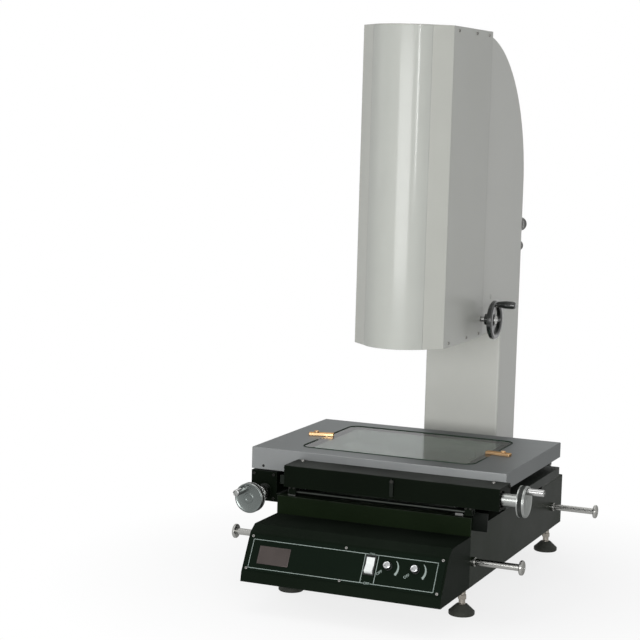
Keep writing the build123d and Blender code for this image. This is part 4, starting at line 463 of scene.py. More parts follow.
bar_chrome = metal("bar_chrome", (0.34, 0.34, 0.325), 0.24, (160, 26, 26), 0.10, 0.07, 0.06, 0.0009)
dress("carrying_bars", bar_chrome)
BAR_END, BAR_Z = 286.0, 103.0
BAR_Y = (-170.5, 345.5)
bar_ends = [facing((side * BAR_END, y, BAR_Z), (side, 0, 0)) for side in (-1, 1) for y in BAR_Y]
bar_button = turn_up([(11.6, -0.3), (11.6, 0.25), (11.1, 0.6), (7.2, 0.6), (6.9, 0.2), (5.4, 0.2), (5.1, 0.6),
                      (2.6, 0.7), (1.4, -0.1), (0.4, -0.2)], 44)
fit(set_out(bar_button, "bar_end_faces", bar_ends), "machine", bar_chrome)


# Console: a folded sheet cover on the front of the base, in the same dark enamel, darker here as painted
# shade on the front-facing cover, with a matt black metal panel screwed to its slope. The lines and the
# words are printed on the panel.

console_shaded_enamel = painted("console_shaded_enamel", (0.0040, 0.0066, 0.0040), (0.07, 0.075, 0.07), 0.52, 620.0, 0.16,
                         mottle=0.14, dust_and_sheen=0.015, edge=0.0016, wear_and_highlight=0.35, shine=0.015)
dress("console_cover", console_shaded_enamel)
panel_black = painted("panel_black", (0.0040, 0.0072, 0.0045), (0.03, 0.035, 0.03), 0.54, 900.0, 0.10,
                      mottle=0.10, edge=0.0006, wear_and_highlight=0.4, shine=0.015)
dress("control_panel", panel_black)
screw_steel = metal("screw_steel", (0.32, 0.315, 0.30), 0.30, (70, 70, 70), 0.12, 0.08, 0.10, 0.0004)
dress("panel_screws", screw_steel)

PANEL_SLOPE = Vector((0, 36, 66)).normalized()
PANEL_OUT = Vector((0, -PANEL_SLOPE.z, PANEL_SLOPE.y))
PANEL_THICKNESS = 0.0015
PANEL_FACE = stand(0, -320, 107) + PANEL_OUT * PANEL_THICKNESS


def on_panel(x=0.0, v=0.0, lift=0.0, spin=0.0):
    """The matrix that lays a piece on the panel, v millimetres up its slope."""
    basis = Matrix((Vector((1, 0, 0)), PANEL_SLOPE, PANEL_OUT)).transposed().to_4x4()
    place = PANEL_FACE + Vector((x / 1000, 0, 0)) + PANEL_SLOPE * v / 1000 + PANEL_OUT * lift / 1000
    return Matrix.Translation(place) @ basis @ Matrix.Rotation(math.radians(spin), 4, "Z")


panel_print = painted("panel_print", (0.185, 0.225, 0.205), (0.30, 0.33, 0.31), 0.6, 1500.0, 0.05,
                      mottle=0.12, edge=0.0001, wear_and_highlight=0.0)
PRINT = 0.06
LINE = 1.15


def printed_line(start, end, width=LINE):
    """A printed stroke between two places on the panel, with rounded ends."""
    run = Vector(end) - Vector(start)
    stroke = squared((run.length + width, width, PRINT), bevel=width * 0.24)
    middle = (Vector(start) + Vector(end)) / 2
    slant = math.degrees(math.atan2(run.y, run.x))
    stroke.data.transform(on_panel(middle.x, middle.y, PRINT / 2 - 0.01, slant))
    return stroke


OUTLINE_X, OUTLINE_V = (-179.5, 174.0), (-28.2, 24.8)
SWITCH_GAP = (43.5, 57.0)
DIVIDERS = (38.0, 63.2)
strokes = [printed_line((x, OUTLINE_V[0]), (x, OUTLINE_V[1])) for x in (*OUTLINE_X, *DIVIDERS)]
for v in OUTLINE_V:
    strokes.append(printed_line((OUTLINE_X[0], v), (SWITCH_GAP[0], v)))
    strokes.append(printed_line((SWITCH_GAP[1], v), (OUTLINE_X[1], v)))
fit(join_pieces(strokes, "panel_outline"), "machine", panel_print)


def crescent(knob_x, knob_v):
    """A brightness scale: a stroke round the knob that grows wider as it runs down."""
    steps, start, end = 18, math.radians(42), math.radians(-44)
    deselect()
    bpy.ops.mesh.primitive_grid_add(x_subdivisions=steps, y_subdivisions=3, size=1)
    scale = bpy.context.active_object
    for vertex in scale.data.vertices:
        along, across = vertex.co.x + 0.5, vertex.co.y + 0.5
        angle = start + (end - start) * along
        radius = 16.6 + 0.9 * along + across * (0.9 + 3.6 * along ** 0.8)
        vertex.co = (radius * math.cos(angle) / 1000, radius * math.sin(angle) / 1000, 0)
    thicken = scale.modifiers.new("ink", "SOLIDIFY")
    thicken.thickness = PRINT / 1000
    bpy.ops.object.modifier_apply(modifier="ink")
    scale.data.transform(on_panel(knob_x, knob_v, PRINT))
    return scale


def word(text, size, matrix):
    """A printed word, drawn as a flat letter shape and made a mesh before it is laid in place."""
    deselect()
    bpy.ops.object.text_add()
    letters = bpy.context.active_object
    letters.data.body = text
    letters.data.size = size / 1000
    letters.data.align_x = "CENTER"
    letters.data.align_y = "CENTER"
    letters.data.extrude = PRINT / 2000
    letters.data.offset = size * 0.012 / 1000
    bpy.ops.object.convert(target="MESH")
    letters = bpy.context.active_object
    letters.data.transform(matrix)
    return letters


KNOBS = ((84.5, 7.0), (135.5, 7.0))
scales = join_pieces([crescent(x, v) for x, v in KNOBS], "brightness_scales")
fit(scales, "machine", panel_print)
words = [word(label, 6.2, on_panel(50.2, v, PRINT / 2)) for label, v in zip(("OFF", "ON"), OUTLINE_V)]
words += [word("OFF", 6.8, on_panel(x - 14.6, v - 13.0, PRINT / 2, 38)) for x, v in KNOBS]
fit(join_pieces(words, "panel_words"), "machine", panel_print)

plain_plate_metal = metal("plain_plate_metal", (0.062, 0.053, 0.050), 0.48, (30, 400, 400), 0.14, 0.07, 0.10)
plain_plate = squared((61.0, 33.5, 0.8), bevel=0.35)
select_only([plain_plate])
bpy.ops.object.mode_set(mode="EDIT")
plate_mesh = bmesh.from_edit_mesh(plain_plate.data)
for face in plate_mesh.faces:
    face.select = face.normal.z > 0.9 and face.calc_area() > 1e-4
bmesh.update_edit_mesh(plain_plate.data)
bpy.ops.mesh.inset(thickness=0.0013, depth=0)
bpy.ops.mesh.inset(thickness=0.0003, depth=-0.00025)
bpy.ops.object.mode_set(mode="OBJECT")
plain_plate = set_out(plain_plate, "plain_plate", [on_panel(-134.0, -2.5, 0.38)])
fit(plain_plate, "machine", plain_plate_metal)

# A near-black that is painted shade in screw recesses and a hole, and the real ink of the knobs' pointer
# lines.
painted_shade_and_pointer_ink = painted("painted_shade_and_pointer_ink", (0.008, 0.008, 0.007), (0.03, 0.03, 0.03), 0.6, 500.0, 0.1,
                      wear_and_highlight=0.0, shine=0.1)


def cross_recess_shade(size):
    """The cross recess of a screw head, shown by two thin dark bars of painted shade laid across each other.
    """
    arms = [squared((size, size * 0.26, 0.10), bevel=size * 0.05),
            squared((size * 0.26, size, 0.10), bevel=size * 0.05)]
    return join_pieces(arms, "cross")


PANEL_SCREWS = [(x, v) for x in (-182.0, 0.0, 182.0) for v in (-30.0, 30.0)]
screw_spots = [on_panel(x, v, 1.42, 20 + 17 * number) for number, (x, v) in enumerate(PANEL_SCREWS)]
fit(set_out(cross_recess_shade(2.7), "panel_screw_crosses", screw_spots), "machine", painted_shade_and_pointer_ink)


# Rocker switch: a white moulded rocker with two flats, which turns in a rectangular hole of the panel
# inside a black bezel.

switch_white = painted("switch_white", (0.56, 0.58, 0.565), (0.6, 0.6, 0.6), 0.34, 900.0, 0.05,
                       mottle=0.05, wear_and_highlight=0.2, edge=0.0006)
dress("power_switch", switch_white)
bezel_black = painted("bezel_black", (0.012, 0.013, 0.012), (0.03, 0.03, 0.03), 0.42, 1100.0, 0.12,
                      wear_and_highlight=0.15, shine=0.2)


def open_frame(width, length, wall, height, corner=0.0):
    """A frame round an opening, drawn up from a flat sheet, with round corners if they are given."""
    deselect()
    bpy.ops.mesh.primitive_plane_add(size=0.001)
    piece = bpy.context.active_object
    piece.scale = (width, length, 1)
    bpy.ops.object.transform_apply()
    bpy.ops.object.mode_set(mode="EDIT")
    bpy.ops.mesh.select_all(action="SELECT")
    if corner:
        bpy.ops.mesh.bevel(offset=corner / 1000, segments=8, affect="VERTICES")
        bpy.ops.mesh.select_all(action="SELECT")
    bpy.ops.mesh.inset(thickness=wall / 1000)
    bpy.ops.mesh.delete(type="FACE")
    bpy.ops.mesh.select_all(action="SELECT")
    bpy.ops.mesh.extrude_region_move(TRANSFORM_OT_translate={"value": (0, 0, height / 1000)})
    face_outwards()
    return piece


switch_bezel = open_frame(20.6, 36.6, 2.2, 1.6)
round_over(switch_bezel, 0.6, 3)
fit(set_out(switch_bezel, "switch_bezel", [on_panel(50.0, 5.0)]), "machine", bezel_black)


# Light knobs: a black moulded skirt on the dimmer's shaft, under a turned aluminium cap that is fluted
# for the fingers and has a dark pointer line on its top.

knob_black = painted("knob_black", (0.009, 0.010, 0.009), (0.05, 0.05, 0.05), 0.42, 900.0, 0.12,
                     wear_and_highlight=0.3, shine=0.2)
knob_metal = metal("knob_metal", (0.42, 0.425, 0.43), 0.20, (60, 60, 60), 0.08, 0.06, 0.06, 0.0004)
FLUTES = 30


def flute(piece, count, beyond, shrink, spacing=2, pressed=(1,)):
    """Press in rows of a turned piece's outermost points, those beyond a radius in millimetres."""
    for vertex in piece.data.vertices:
        row = round(math.atan2(vertex.co.y, vertex.co.x) / math.pi * count)
        if math.hypot(vertex.co.x, vertex.co.y) > beyond / 1000 and row % spacing in pressed:
            vertex.co.x *= shrink
            vertex.co.y *= shrink


for knob_number, (knob_x, knob_v) in enumerate(KNOBS, start=1):
    dress(f"light_knob_{knob_number}", knob_black)
    knob_cap = turn_up([(6.55, 3.0), (6.95, 3.5), (6.95, 9.8), (6.3, 11.0), (5.2, 11.6), (4.6, 11.6),
                        (4.3, 11.4), (2.0, 11.4), (0.3, 11.45)], 2 * FLUTES)
    flute(knob_cap, FLUTES, 6.9, 0.957)
    knob_cap = set_out(knob_cap, f"knob_cap_{knob_number}", [on_panel(knob_x, knob_v)])
    fit(knob_cap, f"light_knob_{knob_number}", knob_metal, 25)
    knob_pointer = squared((4.4, 0.7, 0.16), (3.4, 0, 11.5), 0.15)
    knob_pointer = set_out(knob_pointer, f"knob_pointer_{knob_number}", [on_panel(knob_x, knob_v, 0, 205)])
    fit(knob_pointer, f"light_knob_{knob_number}", painted_shade_and_pointer_ink)


# Contour light: a folded tray that hangs in the base's well, under a sheet of milk-white acrylic that
# spreads its light evenly.

lamp_tray = metal("lamp_tray", (0.42, 0.43, 0.42), 0.42, (200, 20, 200), 0.10, 0.06, 0.08)
dress("backlight_housing", lamp_tray)
milk_acrylic = painted("milk_acrylic", (0.62, 0.66, 0.63), (0.7, 0.7, 0.7), 0.38, 600.0, 0.04,
                       mottle=0.04, wear_and_highlight=0.0)
dress("backlight_diffuser", milk_acrylic)


# Y drive housing: a black channel bolted along the left of the bed, which holds the turning rod and its
# bearings. Its front end carries the boss that the handwheel runs in.

# The lighter grey on the tops of the drive housings is partly dust and partly a painted sheen.
drive_enamel = painted("drive_enamel", (0.0022, 0.0038, 0.0020), (0.045, 0.05, 0.045), 0.50, 640.0, 0.16,
                       mottle=0.16, dust_and_sheen=0.17, edge=0.0014, wear_and_highlight=0.45, shine=0.02)
dress("y_drive_housing", drive_enamel)


def socket_screw(radius, height):
    """A socket-head screw standing on the Z axis: chamfered cylinder with a bored drive."""
    return turn_up([(radius, -0.4), (radius, height * 0.86), (radius * 0.88, height),
                    (radius * 0.56, height), (radius * 0.50, height * 0.9), (radius * 0.48, height * 0.45),
                    (radius * 0.08, height * 0.38)], 24)


black_steel = metal("black_steel", (0.026, 0.026, 0.024), 0.38, (70, 70, 70), 0.14, 0.08, 0.10, 0.0004)
Y_ROD_X, Y_ROD_Z = -222.0, 188.0
Y_HOUSING_FRONT, Y_HOUSING_TOP = -177.0, 227.0
BOLT_X = (-244.0, -204.0)
y_housing_bolts = [facing((x, Y_HOUSING_FRONT, z), FRONT, 15) for x in BOLT_X for z in (176, 221)]
y_housing_bolts += [facing((x, y, Y_HOUSING_TOP), UP) for x in BOLT_X for y in (-165, -55, 55, 154)]
fit(set_out(socket_screw(2.9, 2.2), "y_housing_screws", y_housing_bolts), "machine",
    black_steel)
boss_face = facing((Y_ROD_X, Y_HOUSING_FRONT, Y_ROD_Z), FRONT)
boss_flange = turn_up([(15.4, 0.0), (15.4, 3.2), (14.9, 3.8), (14.2, 3.8)], 48)
fit(set_out(boss_flange, "y_boss_flange", [boss_face]), "machine", drive_enamel)
turned_collar = metal("turned_collar", (0.46, 0.465, 0.45), 0.30, (60, 60, 60), 0.10, 0.07, 0.06, 0.0005)
boss_collar = turn_up([(14.05, 13.4), (14.35, 13.8), (14.35, 25.4), (13.7, 26.2), (9.0, 26.2)], 56)
fit(set_out(boss_collar, "y_boss_collar", [boss_face]), "machine", turned_collar)


# Guideways: ground steel rails, and machined blocks with green end seals that slide on them. Plastic
# caps close the screw holes of the lower rails.

ground_steel = metal("ground_steel", (0.15, 0.152, 0.148), 0.30, (240, 12, 240), 0.10, 0.06, 0.06, 0.0003)
block_steel = metal("block_steel", (0.075, 0.076, 0.074), 0.38, (90, 90, 90), 0.10, 0.06, 0.08, 0.0006)
for rail_node in ("y_rails", "x_rails", "z_rails"):
    dress(rail_node, ground_steel)
for block_node in ("guide_blocks", "z_guide_blocks"):
    dress(block_node, block_steel)
rail_cap_plastic = painted("rail_cap_plastic", (0.030, 0.034, 0.032), (0.05, 0.05, 0.05), 0.5, 800.0, 0.1,
                           wear_and_highlight=0.0)
LOWER_RAIL_X, LOWER_RAIL_TOP, RAIL_CAP_PITCH = 165.0, 198.0, 60.0
rail_cap = turn_up([(4.5, -0.3), (4.5, 0.0), (4.3, 0.12), (1.5, 0.14)], 24)
rail_caps = [facing((side * LOWER_RAIL_X, -160.0 + RAIL_CAP_PITCH * number, LOWER_RAIL_TOP), UP)
             for side in (-1, 1) for number in range(7)]
fit(set_out(rail_cap, "rail_caps", rail_caps), "machine", rail_cap_plastic)

seal_green = painted("seal_green", (0.012, 0.050, 0.034), (0.05, 0.06, 0.05), 0.45, 900.0, 0.1, wear_and_highlight=0.1)
seal_parts = [squared((32.4, 3.0, 6.4), (0, 0, 16.0), 0.5)]
seal_parts += [squared((8.0, 3.0, 10.5), (side * 12.4, 0, 9.6), 0.5) for side in (-1, 1)]
block_seal = join_pieces(seal_parts, "block_seal")
SEAL_REACH = 26.6
lower_seals = [placed_at(side * LOWER_RAIL_X, block_y + end * SEAL_REACH, 186.0)
               for side in (-1, 1) for block_y in (-50.0, 70.0) for end in (-1, 1)]
turned_over = Matrix.Rotation(math.pi, 4, "X") @ Matrix.Rotation(math.pi / 2, 4, "Z")
upper_seals = [placed_at(side * 62.0 + end * SEAL_REACH, rail_y, 242.0) @ turned_over
               for side in (-1, 1) for rail_y in (-145.0, 145.0) for end in (-1, 1)]
fit(set_out(block_seal, "block_seals", lower_seals + upper_seals), "y_carriage", seal_green)


# Linear scales: closed black anodised housings, the lower one between two end blocks and screwed to
# the base's side, and the reading heads that run along them.

scale_black = painted("scale_black", (0.004, 0.005, 0.004), (0.05, 0.05, 0.05), 0.45, 700.0, 0.12,
                      dust_and_sheen=0.03, shine=0.03)
ANODISED = (0.024, 0.027, 0.023)
scale_anodised = metal("scale_anodised", ANODISED, 0.42, (200, 10, 200), 0.12, 0.06, 0.08, 0.0006)
for scale_node in ("y_scale", "y_scale_head", "x_scale_head"):
    dress(scale_node, scale_anodised)
dress("x_scale", metal("x_scale_anodised", ANODISED, 0.42, (10, 200, 200), 0.12, 0.06, 0.08, 0.0006))
scale_end = squared((28.0, 5.0, 34.0), bevel=1.0)
scale_ends = [placed_at(205.0, y, 179.0) for y in (-178.6, 166.6)]
fit(set_out(scale_end, "y_scale_ends", scale_ends), "machine", scale_black)
scale_bolts = [facing((213.0, y, 186.0), RIGHT) for y in (-168, -60, 48, 156)]
fit(set_out(socket_screw(2.4, 1.8), "y_scale_screws", scale_bolts), "machine", black_steel)


# Carriage: a thick plate with a window for the light, in a dark satin finish whose edges are lighter,
# partly worn bare and partly a painted highlight. It lies on the four lower blocks and carries the
# upper slide.

carriage_grey = painted("carriage_grey", (0.011, 0.014, 0.011), (0.12, 0.12, 0.115), 0.46, 560.0, 0.14,
                        mottle=0.14, dust_and_sheen=0.02, edge=0.0012, wear_and_highlight=0.35, shine=0.06)
dress("y_carriage_plate", carriage_grey)
for nut_node in ("x_drive_nut", "y_drive_nut"):
    dress(nut_node, block_steel)


# X drive housing: the black channel across the front, with bolted end plates, a retaining ring at the
# rod's bearing, and two brackets below that hold the stop rod.

dress("x_drive_housing", drive_enamel)
# The rod is polished steel; its near-black colour is painted dark reflection of the shaded parts around it.
stop_rod_dark_reflection_steel = metal("stop_rod_dark_reflection_steel", (0.036, 0.040, 0.036), 0.36, (12, 160, 160), 0.12, 0.08, 0.06,
                       0.0004)
dress("x_stop_rod", stop_rod_dark_reflection_steel)
X_ROD_Y, X_ROD_Z = -222.0, 235.0
X_HOUSING_LEFT, X_HOUSING_RIGHT, X_HOUSING_TOP = -155.0, 258.0, 256.0
top_screws = [facing((x, y, X_HOUSING_TOP), UP) for x, y in ((-140.0, -189.0), (233.0, -197.0))]
fit(set_out(socket_screw(3.4, 2.6), "x_housing_screws", top_screws), "y_carriage", screw_steel)
bracket_screws = [facing((x + dx, -223.0, 211.5), FRONT) for x in (-146.0, 196.0) for dx in (-4.2, 4.2)]
fit(set_out(socket_screw(2.3, 1.9), "stop_bracket_screws", bracket_screws), "y_carriage",
    black_steel)
end_bolts = [facing((x, y, z), outwards) for x, outwards in ((X_HOUSING_RIGHT, RIGHT), (X_HOUSING_LEFT, LEFT))
             for y in (-234.5, -184.0) for z in (221.5, 250.5)]
fit(set_out(socket_screw(2.6, 2.0), "x_end_plate_screws", end_bolts), "y_carriage",
    black_steel)
bearing_ring = turn_up([(15.0, 0.0), (15.0, 0.14), (14.6, 0.22), (8.4, 0.22), (8.1, 0.1)], 48)
fit(set_out(bearing_ring, "x_bearing_ring", [facing((X_HOUSING_RIGHT, X_ROD_Y, X_ROD_Z), RIGHT)]),
    "y_carriage", black_steel)


# Release lever: a small blacked lever on its pin, with edges lighter as wear and as painted highlight,
# which frees the stage from its turning rod for a quick push by hand.

lever_blacked = metal("lever_blacked", (0.012, 0.014, 0.012), 0.42, (90, 90, 90), 0.16, 0.08, 0.10, 0.0008)
dress("x_release_lever", lever_blacked)
lever_pin = turn_up([(3.3, 0.0), (3.3, 0.9), (2.8, 1.4), (1.2, 1.5)], 24)
fit(set_out(lever_pin, "lever_pin_head", [facing((57.0, -244.3, 248.0), FRONT)]), "x_release_lever",
    black_steel)


# Stage: a thick aluminium plate, milled and grey anodised, with a rebate for the glass. The upper
# rails are under it, and a dark disc of painted shade shows the small hole in its front edge.

stage_anodised = metal("stage_anodised", (0.190, 0.197, 0.197), 0.45, (130, 130, 130), 0.05, 0.04, 0.05,
                       0.0009, 0.8)
dress("stage_plate", stage_anodised)
front_hole_shade = turn_up([(2.6, -0.2), (2.6, 0.03), (2.3, 0.05), (0.3, 0.05)], 28)
fit(set_out(front_hole_shade, "stage_front_hole_shade", [facing((-226.0, -177.0, 236.5), FRONT)]), "x_stage",
    painted_shade_and_pointer_ink)


# Stage glass: an 8 mm sheet that lies in the plate's rebate. Its ground edge looks dark green, and
# its faces carry a faint film where they were wiped.

def wiped(name, colour, smear, gloss):
    """A clear material, and its shader, with a film between two roughnesses where it was wiped."""
    material, nodes, links, shader = new_material(name)
    shader.inputs["Base Color"].default_value = (*colour, 1)
    size, detail, breakup = smear
    tree = material.node_tree
    wipe = put(tree, "ShaderNodeTexNoise", in_2=size, in_3=detail, in_4=breakup)
    film = put(tree, "ShaderNodeMapRange", in_1=0.35, in_2=0.7, in_3=gloss[0], in_4=gloss[1])
    links.new(nodes.new("ShaderNodeTexCoord").outputs["Object"], wipe.inputs["Vector"])
    links.new(wipe.outputs[0], film.inputs[0])
    links.new(film.outputs[0], shader.inputs["Roughness"])
    return material, shader


glass_material, glass_shader = wiped("stage_glass", (0.44, 0.54, 0.47), (8.0, 5.0, 0.7), (0.06, 0.14))
glass_shader.inputs["Transmission Weight"].default_value = 1.0
glass_shader.inputs["IOR"].default_value = 1.14
dress("stage_glass", glass_material)
glass_rim = open_frame(343.4, 263.4, 1.1, 1.3, 20.2)
clip_gap = squared((400.0, 76.0, 8.0), (0, -10.0, 0), 0)
rim_cut = glass_rim.modifiers.new("clip_gap", "BOOLEAN")
rim_cut.operation = "DIFFERENCE"
rim_cut.object = clip_gap
select_only([glass_rim])
bpy.ops.object.modifier_apply(modifier="clip_gap")
bpy.data.objects.remove(clip_gap)
edge_green = painted("edge_green", (0.010, 0.026, 0.014), (0.03, 0.05, 0.03), 0.4, 900.0, 0.05, edge=0.0002,
                     wear_and_highlight=0.0, shine=0.1)
fit(set_out(glass_rim, "glass_rim", [placed_at(0, 0, 270.9)]), "x_stage", edge_green)


# Glass clips: two brass bars with softened edges that turn on slotted brass screws and hold down
# what lies on the glass.

clip_brass = metal("clip_brass", (0.50, 0.33, 0.18), 0.36, (26, 120, 120), 0.14, 0.08, 0.08, 0.0008)
for clip_node in ("glass_clip_left", "glass_clip_right", "clip_screws"):
    dress(clip_node, clip_brass)


# Stage handwheels: a turned aluminium sleeve and face plate with a black knurled ring between them,
# and a polished grip on a pin near the rim.

satin_aluminium = metal("satin_aluminium", (0.30, 0.31, 0.30), 0.32, (60, 60, 60), 0.09, 0.07, 0.06, 0.0006)
# The Y wheel's face is the same aluminium as the X wheel's, given a darker colour as painted shade on the
# face that looks forward.
shaded_face_aluminium = metal("shaded_face_aluminium", (0.135, 0.150, 0.145), 0.30, (60, 60, 60), 0.09, 0.07, 0.06, 0.0006)
grip_polished = metal("grip_polished", (0.38, 0.38, 0.375), 0.22, (60, 60, 60), 0.08, 0.06, 0.04, 0.0005)
rod_steel = metal("rod_steel", (0.46, 0.46, 0.45), 0.24, (60, 60, 60), 0.10, 0.06, 0.05, 0.0004)
knurl_black = painted("knurl_black", (0.010, 0.012, 0.010), (0.09, 0.09, 0.09), 0.42, 900.0, 0.10,
                      edge=0.0004, wear_and_highlight=0.4, shine=0.2)
WHEELS = {"x": facing((290.0, X_ROD_Y, X_ROD_Z), RIGHT), "y": facing((Y_ROD_X, -235.0, Y_ROD_Z), FRONT)}
KNURLS = 96
for axis, wheel_place in WHEELS.items():
    dress(f"{axis}_handwheel", satin_aluminium)
    dress(f"{axis}_drive_rod", rod_steel)
    dress(f"{axis}_crank_grip", grip_polished)
    knurl = turn_up([(27.02, 2.1), (27.4, 2.5), (27.7, 2.9), (27.7, 9.1), (27.4, 9.5), (27.02, 9.9)],
                    2 * KNURLS)
    flute(knurl, KNURLS, 27.2, 0.9785)
    knurl = set_out(knurl, f"{axis}_wheel_knurl", [wheel_place])
    fit(knurl, f"{axis}_handwheel", knurl_black, 20)
    wheel_face = turn_up([(27.4, 12.6), (27.4, 13.4), (26.9, 13.9), (26.0, 14.1), (25.0, 14.0), (24.0, 13.5),
                          (22.6, 13.15), (9.4, 13.08), (9.0, 13.6), (5.6, 13.6), (5.2, 13.2), (3.2, 13.1),
                          (1.0, 13.1)], 72)
    fit(set_out(wheel_face, f"{axis}_wheel_face", [wheel_place]), f"{axis}_handwheel",
        satin_aluminium if axis == "x" else shaded_face_aluminium, 20)


# Column: a hollow casting, painted light grey, which leans over the stage in a quarter round and
# carries the head.

column_grey = painted("column_grey", (0.385, 0.388, 0.358), (0.40, 0.40, 0.38), 0.46, 420.0, 0.20,
                      mottle=0.035, edge=0.0020, wear_and_highlight=0.25, coat=0.1)
dress("column", column_grey)
side_plugs = [facing((79.5, y, z), RIGHT) for y, z in ((307.0, 358.0), (226.0, 542.0))]
side_plug = turn_up([(4.4, -0.2), (4.4, 0.5), (3.9, 1.1), (2.4, 1.2), (2.2, 0.6), (0.6, 0.5)], 28)
fit(set_out(side_plug, "column_plugs", side_plugs), "machine", column_grey)


# Head covers: bent sheet in pale grey textured enamel, a rounded front cover and the cover of the
# sides and roof, screwed to the two frame rings.

head_enamel = painted("head_enamel", (0.312, 0.316, 0.288), (0.45, 0.45, 0.43), 0.42, 900.0, 0.30,
                      mottle=0.030, edge=0.0016, wear_and_highlight=0.2, coat=0.1)
head_front_enamel = painted("head_front_enamel", (0.330, 0.338, 0.312), (0.45, 0.45, 0.43), 0.50, 900.0, 0.30,
                            mottle=0.030, edge=0.0016, wear_and_highlight=0.2, coat=0.28, shine=0.1)
dress("head_side_cover", head_enamel)
dress("head_front_cover", head_front_enamel)
frame_grey = painted("frame_grey", (0.25, 0.255, 0.24), (0.35, 0.35, 0.34), 0.5, 420.0, 0.2, wear_and_highlight=0.2)
dress("head_frame", frame_grey)
dress("cover_screws", screw_steel)
COVER_SIDE, HEAD_RISE = 88.3, 1.62
COVER_SCREWS = [(y, z) for y in (-50.0, 54.0, 128.0) for z in (479.0, 1055.0)]
cover_crosses = [facing((side * (COVER_SIDE + HEAD_RISE), y, z), (side, 0, 0), 25 + 31 * number)
                 for side in (-1, 1) for number, (y, z) in enumerate(COVER_SCREWS)]
# The dark crosses on the cover screws are painted shade in their recesses.
fit(set_out(cross_recess_shade(3.4), "cover_screw_crosses", cover_crosses), "machine", painted_shade_and_pointer_ink)
# Thin strips a little darker than the covers lie over the seams between them: painted shade in the narrow
# gaps.
seam_shade_grey = painted("seam_shade_grey", (0.27, 0.275, 0.255), (0.2, 0.2, 0.2), 0.55, 700.0, 0.1, wear_and_highlight=0.0)
seam_shade_strip = squared((0.9, 0.5, 588.0), (0, 0, 766.0), 0.12)
seams = [placed_at(side * 57.45, -107.55, 0) @ Matrix.Rotation(math.radians(side * 40.0), 4, "Z")
         for side in (-1, 1)]
fit(set_out(seam_shade_strip, "head_seam_shade_strips", seams), "machine", seam_shade_grey)


# Z slide: the fixed plate with its bearing blocks, the carriage plate and the lens bracket, and the
# steel rack that the handwheel's pinion drives.

slide_cast = painted("slide_cast", (0.23, 0.235, 0.225), (0.45, 0.45, 0.44), 0.42, 380.0, 0.2,
                     mottle=0.08, wear_and_highlight=0.4)
for cast_node in ("z_base_plate", "z_carriage_plate", "lens_bracket"):
    dress(cast_node, slide_cast)
dress("z_rack", ground_steel)
dress("z_pinion_shaft", rod_steel)
carriage_bolts = [facing((side * x, 114.0, z), FRONT)
                  for side in (-1, 1) for x in (34.0, 54.0) for z in (664.0, 700.0, 784.0, 820.0)]
fit(set_out(socket_screw(4.2, 3.4), "z_carriage_screws", carriage_bolts), "z_carriage",
    black_steel)


# Z handwheel: a glossy black moulded wheel with four spokes and a grip that turns on its pin. A turned
# cap closes its hub at the end of the pinion's shaft.

wheel_black = painted("wheel_black", (0.0075, 0.0085, 0.0080), (0.03, 0.03, 0.03), 0.20, 700.0, 0.06,
                      mottle=0.10, edge=0.0014, wear_and_highlight=0.15, coat=0.5)
dress("z_handwheel", wheel_black)
dress("z_crank_grip", wheel_black)
hub_cap = turn_up([(8.6, 6.8), (8.6, 8.2), (7.9, 9.0), (4.2, 9.2), (3.9, 8.4), (0.8, 8.3)], 40)
fit(set_out(hub_cap, "z_wheel_hub_cap", [facing((110.0, 144.0, 506.0), RIGHT)]), "z_handwheel",
    rod_steel)


# Zoom lens, ring light and camera: black anodised barrels, a fluted turning ring, a ring of small
# lamps round the lens, and a finned camera on top.

optics_black = metal("optics_black", (0.022, 0.023, 0.022), 0.38, (90, 90, 90), 0.12, 0.08, 0.08, 0.0007)
for optics_node in ("zoom_lens", "zoom_ring", "ring_light", "camera"):
    dress(optics_node, optics_black)
lens_glass, lens_shader = wiped("lens_glass", (0.020, 0.022, 0.035), (25.0, 3.0, 0.5), (0.04, 0.12))
lens_shader.inputs["Coat Weight"].default_value = 1.0
lens_shader.inputs["Coat Roughness"].default_value = 0.02
front_lens = turn_up([(19.6, -0.4), (19.6, 0.2), (17.5, 1.0), (13.5, 2.1), (8.5, 2.9), (3.5, 3.3),
                      (0.4, 3.35)], 56)
front_lens = set_out(front_lens, "front_lens", [facing((0, 0, 490.0), DOWN)])
fit(front_lens, "z_carriage", lens_glass)
GRIP_ROWS = 72
zoom_grip = turn_up([(31.0, 533.6), (31.8, 534.4), (31.8, 549.4), (31.0, 550.2)], 2 * GRIP_ROWS)
flute(zoom_grip, GRIP_ROWS, 31.5, 0.980, 4, (0, 1))
fit(set_out(zoom_grip, "zoom_grip", [placed_at(0, 0, 0)]), "zoom_ring", bezel_black, 20)
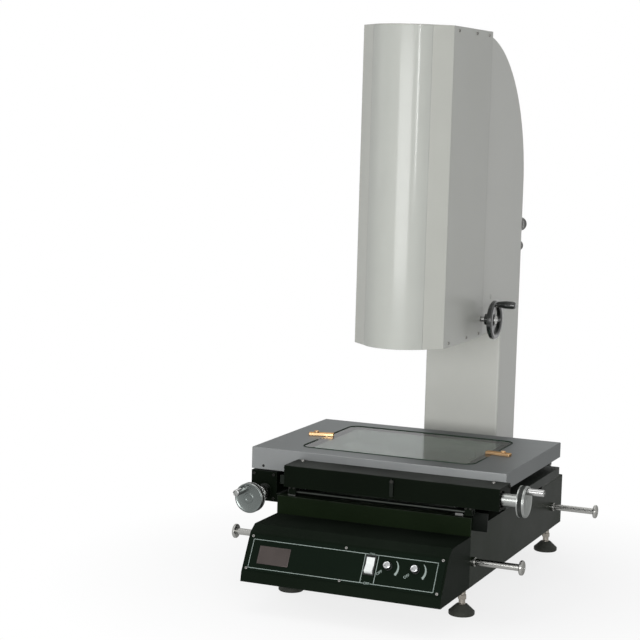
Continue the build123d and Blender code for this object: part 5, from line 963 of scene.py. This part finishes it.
lamp_clear = painted("lamp_clear", (0.75, 0.77, 0.78), (0.8, 0.8, 0.8), 0.15, 600.0, 0.02,
                     mottle=0.03, wear_and_highlight=0.0, coat=0.6)
small_lamp = turn_up([(2.5, -0.3), (2.5, 0.5), (2.2, 0.6), (2.1, 1.2), (1.5, 1.9), (0.5, 2.2)], 12)
LAMP_COUNT, LAMP_CIRCLE = 40, 42.0
lamp_turns = [math.tau * number / LAMP_COUNT for number in range(LAMP_COUNT)]
lamp_ring = [facing((LAMP_CIRCLE * math.cos(turn), LAMP_CIRCLE * math.sin(turn), 487.0), DOWN)
             for turn in lamp_turns]
fit(set_out(small_lamp, "ring_lamps", lamp_ring), "z_carriage", lamp_clear)
camera_fin = squared((51.6, 51.6, 1.6), bevel=0.5)
fins = [placed_at(0, 0, 700.0 + 6.0 * number) for number in range(7)]
fit(set_out(camera_fin, "camera_fins", fins), "z_carriage", optics_black)


# Sockets: round metal shells for the camera and the scales on the column's back, and the mains inlet
# on the back of the base.

socket_shell = metal("socket_shell", (0.20, 0.20, 0.195), 0.38, (80, 80, 80), 0.12, 0.07, 0.08, 0.0005)
dress("rear_sockets", socket_shell)
for socket_z, radius, length in ((677.0, 13.0, 30.0), (632.0, 10.0, 20.0)):
    shell = turn_up([(radius + 3.5, 0.0), (radius + 3.5, 1.8), (radius + 3.0, 2.4), (radius + 0.6, 2.4),
                     (radius + 0.6, length * 0.45), (radius + 1.5, length * 0.5),
                     (radius + 1.5, length - 1.2), (radius + 0.9, length + 0.4),
                     (radius - 2.0, length + 0.4), (radius - 2.4, length + 0.05)], 48)
    shell = set_out(shell, f"socket_shell_{round(socket_z)}", [facing((66.0, 424.8, socket_z), BACK)])
    fit(shell, "machine", socket_shell, 25)
INLET_X, INLET_Z = -110.0, 108.0
for inlet_part, inlet_size, inlet_y, bevel in (
        ("inlet_body", (51.2, 5.4, 31.2), 428.9, 2.0), ("inlet_flange", (56.0, 3.0, 36.0), 425.5, 1.0)):
    moulding = set_out(squared(inlet_size, bevel=bevel, segments=3), inlet_part,
                       [placed_at(INLET_X, inlet_y, INLET_Z)])
    fit(moulding, "machine", bezel_black)
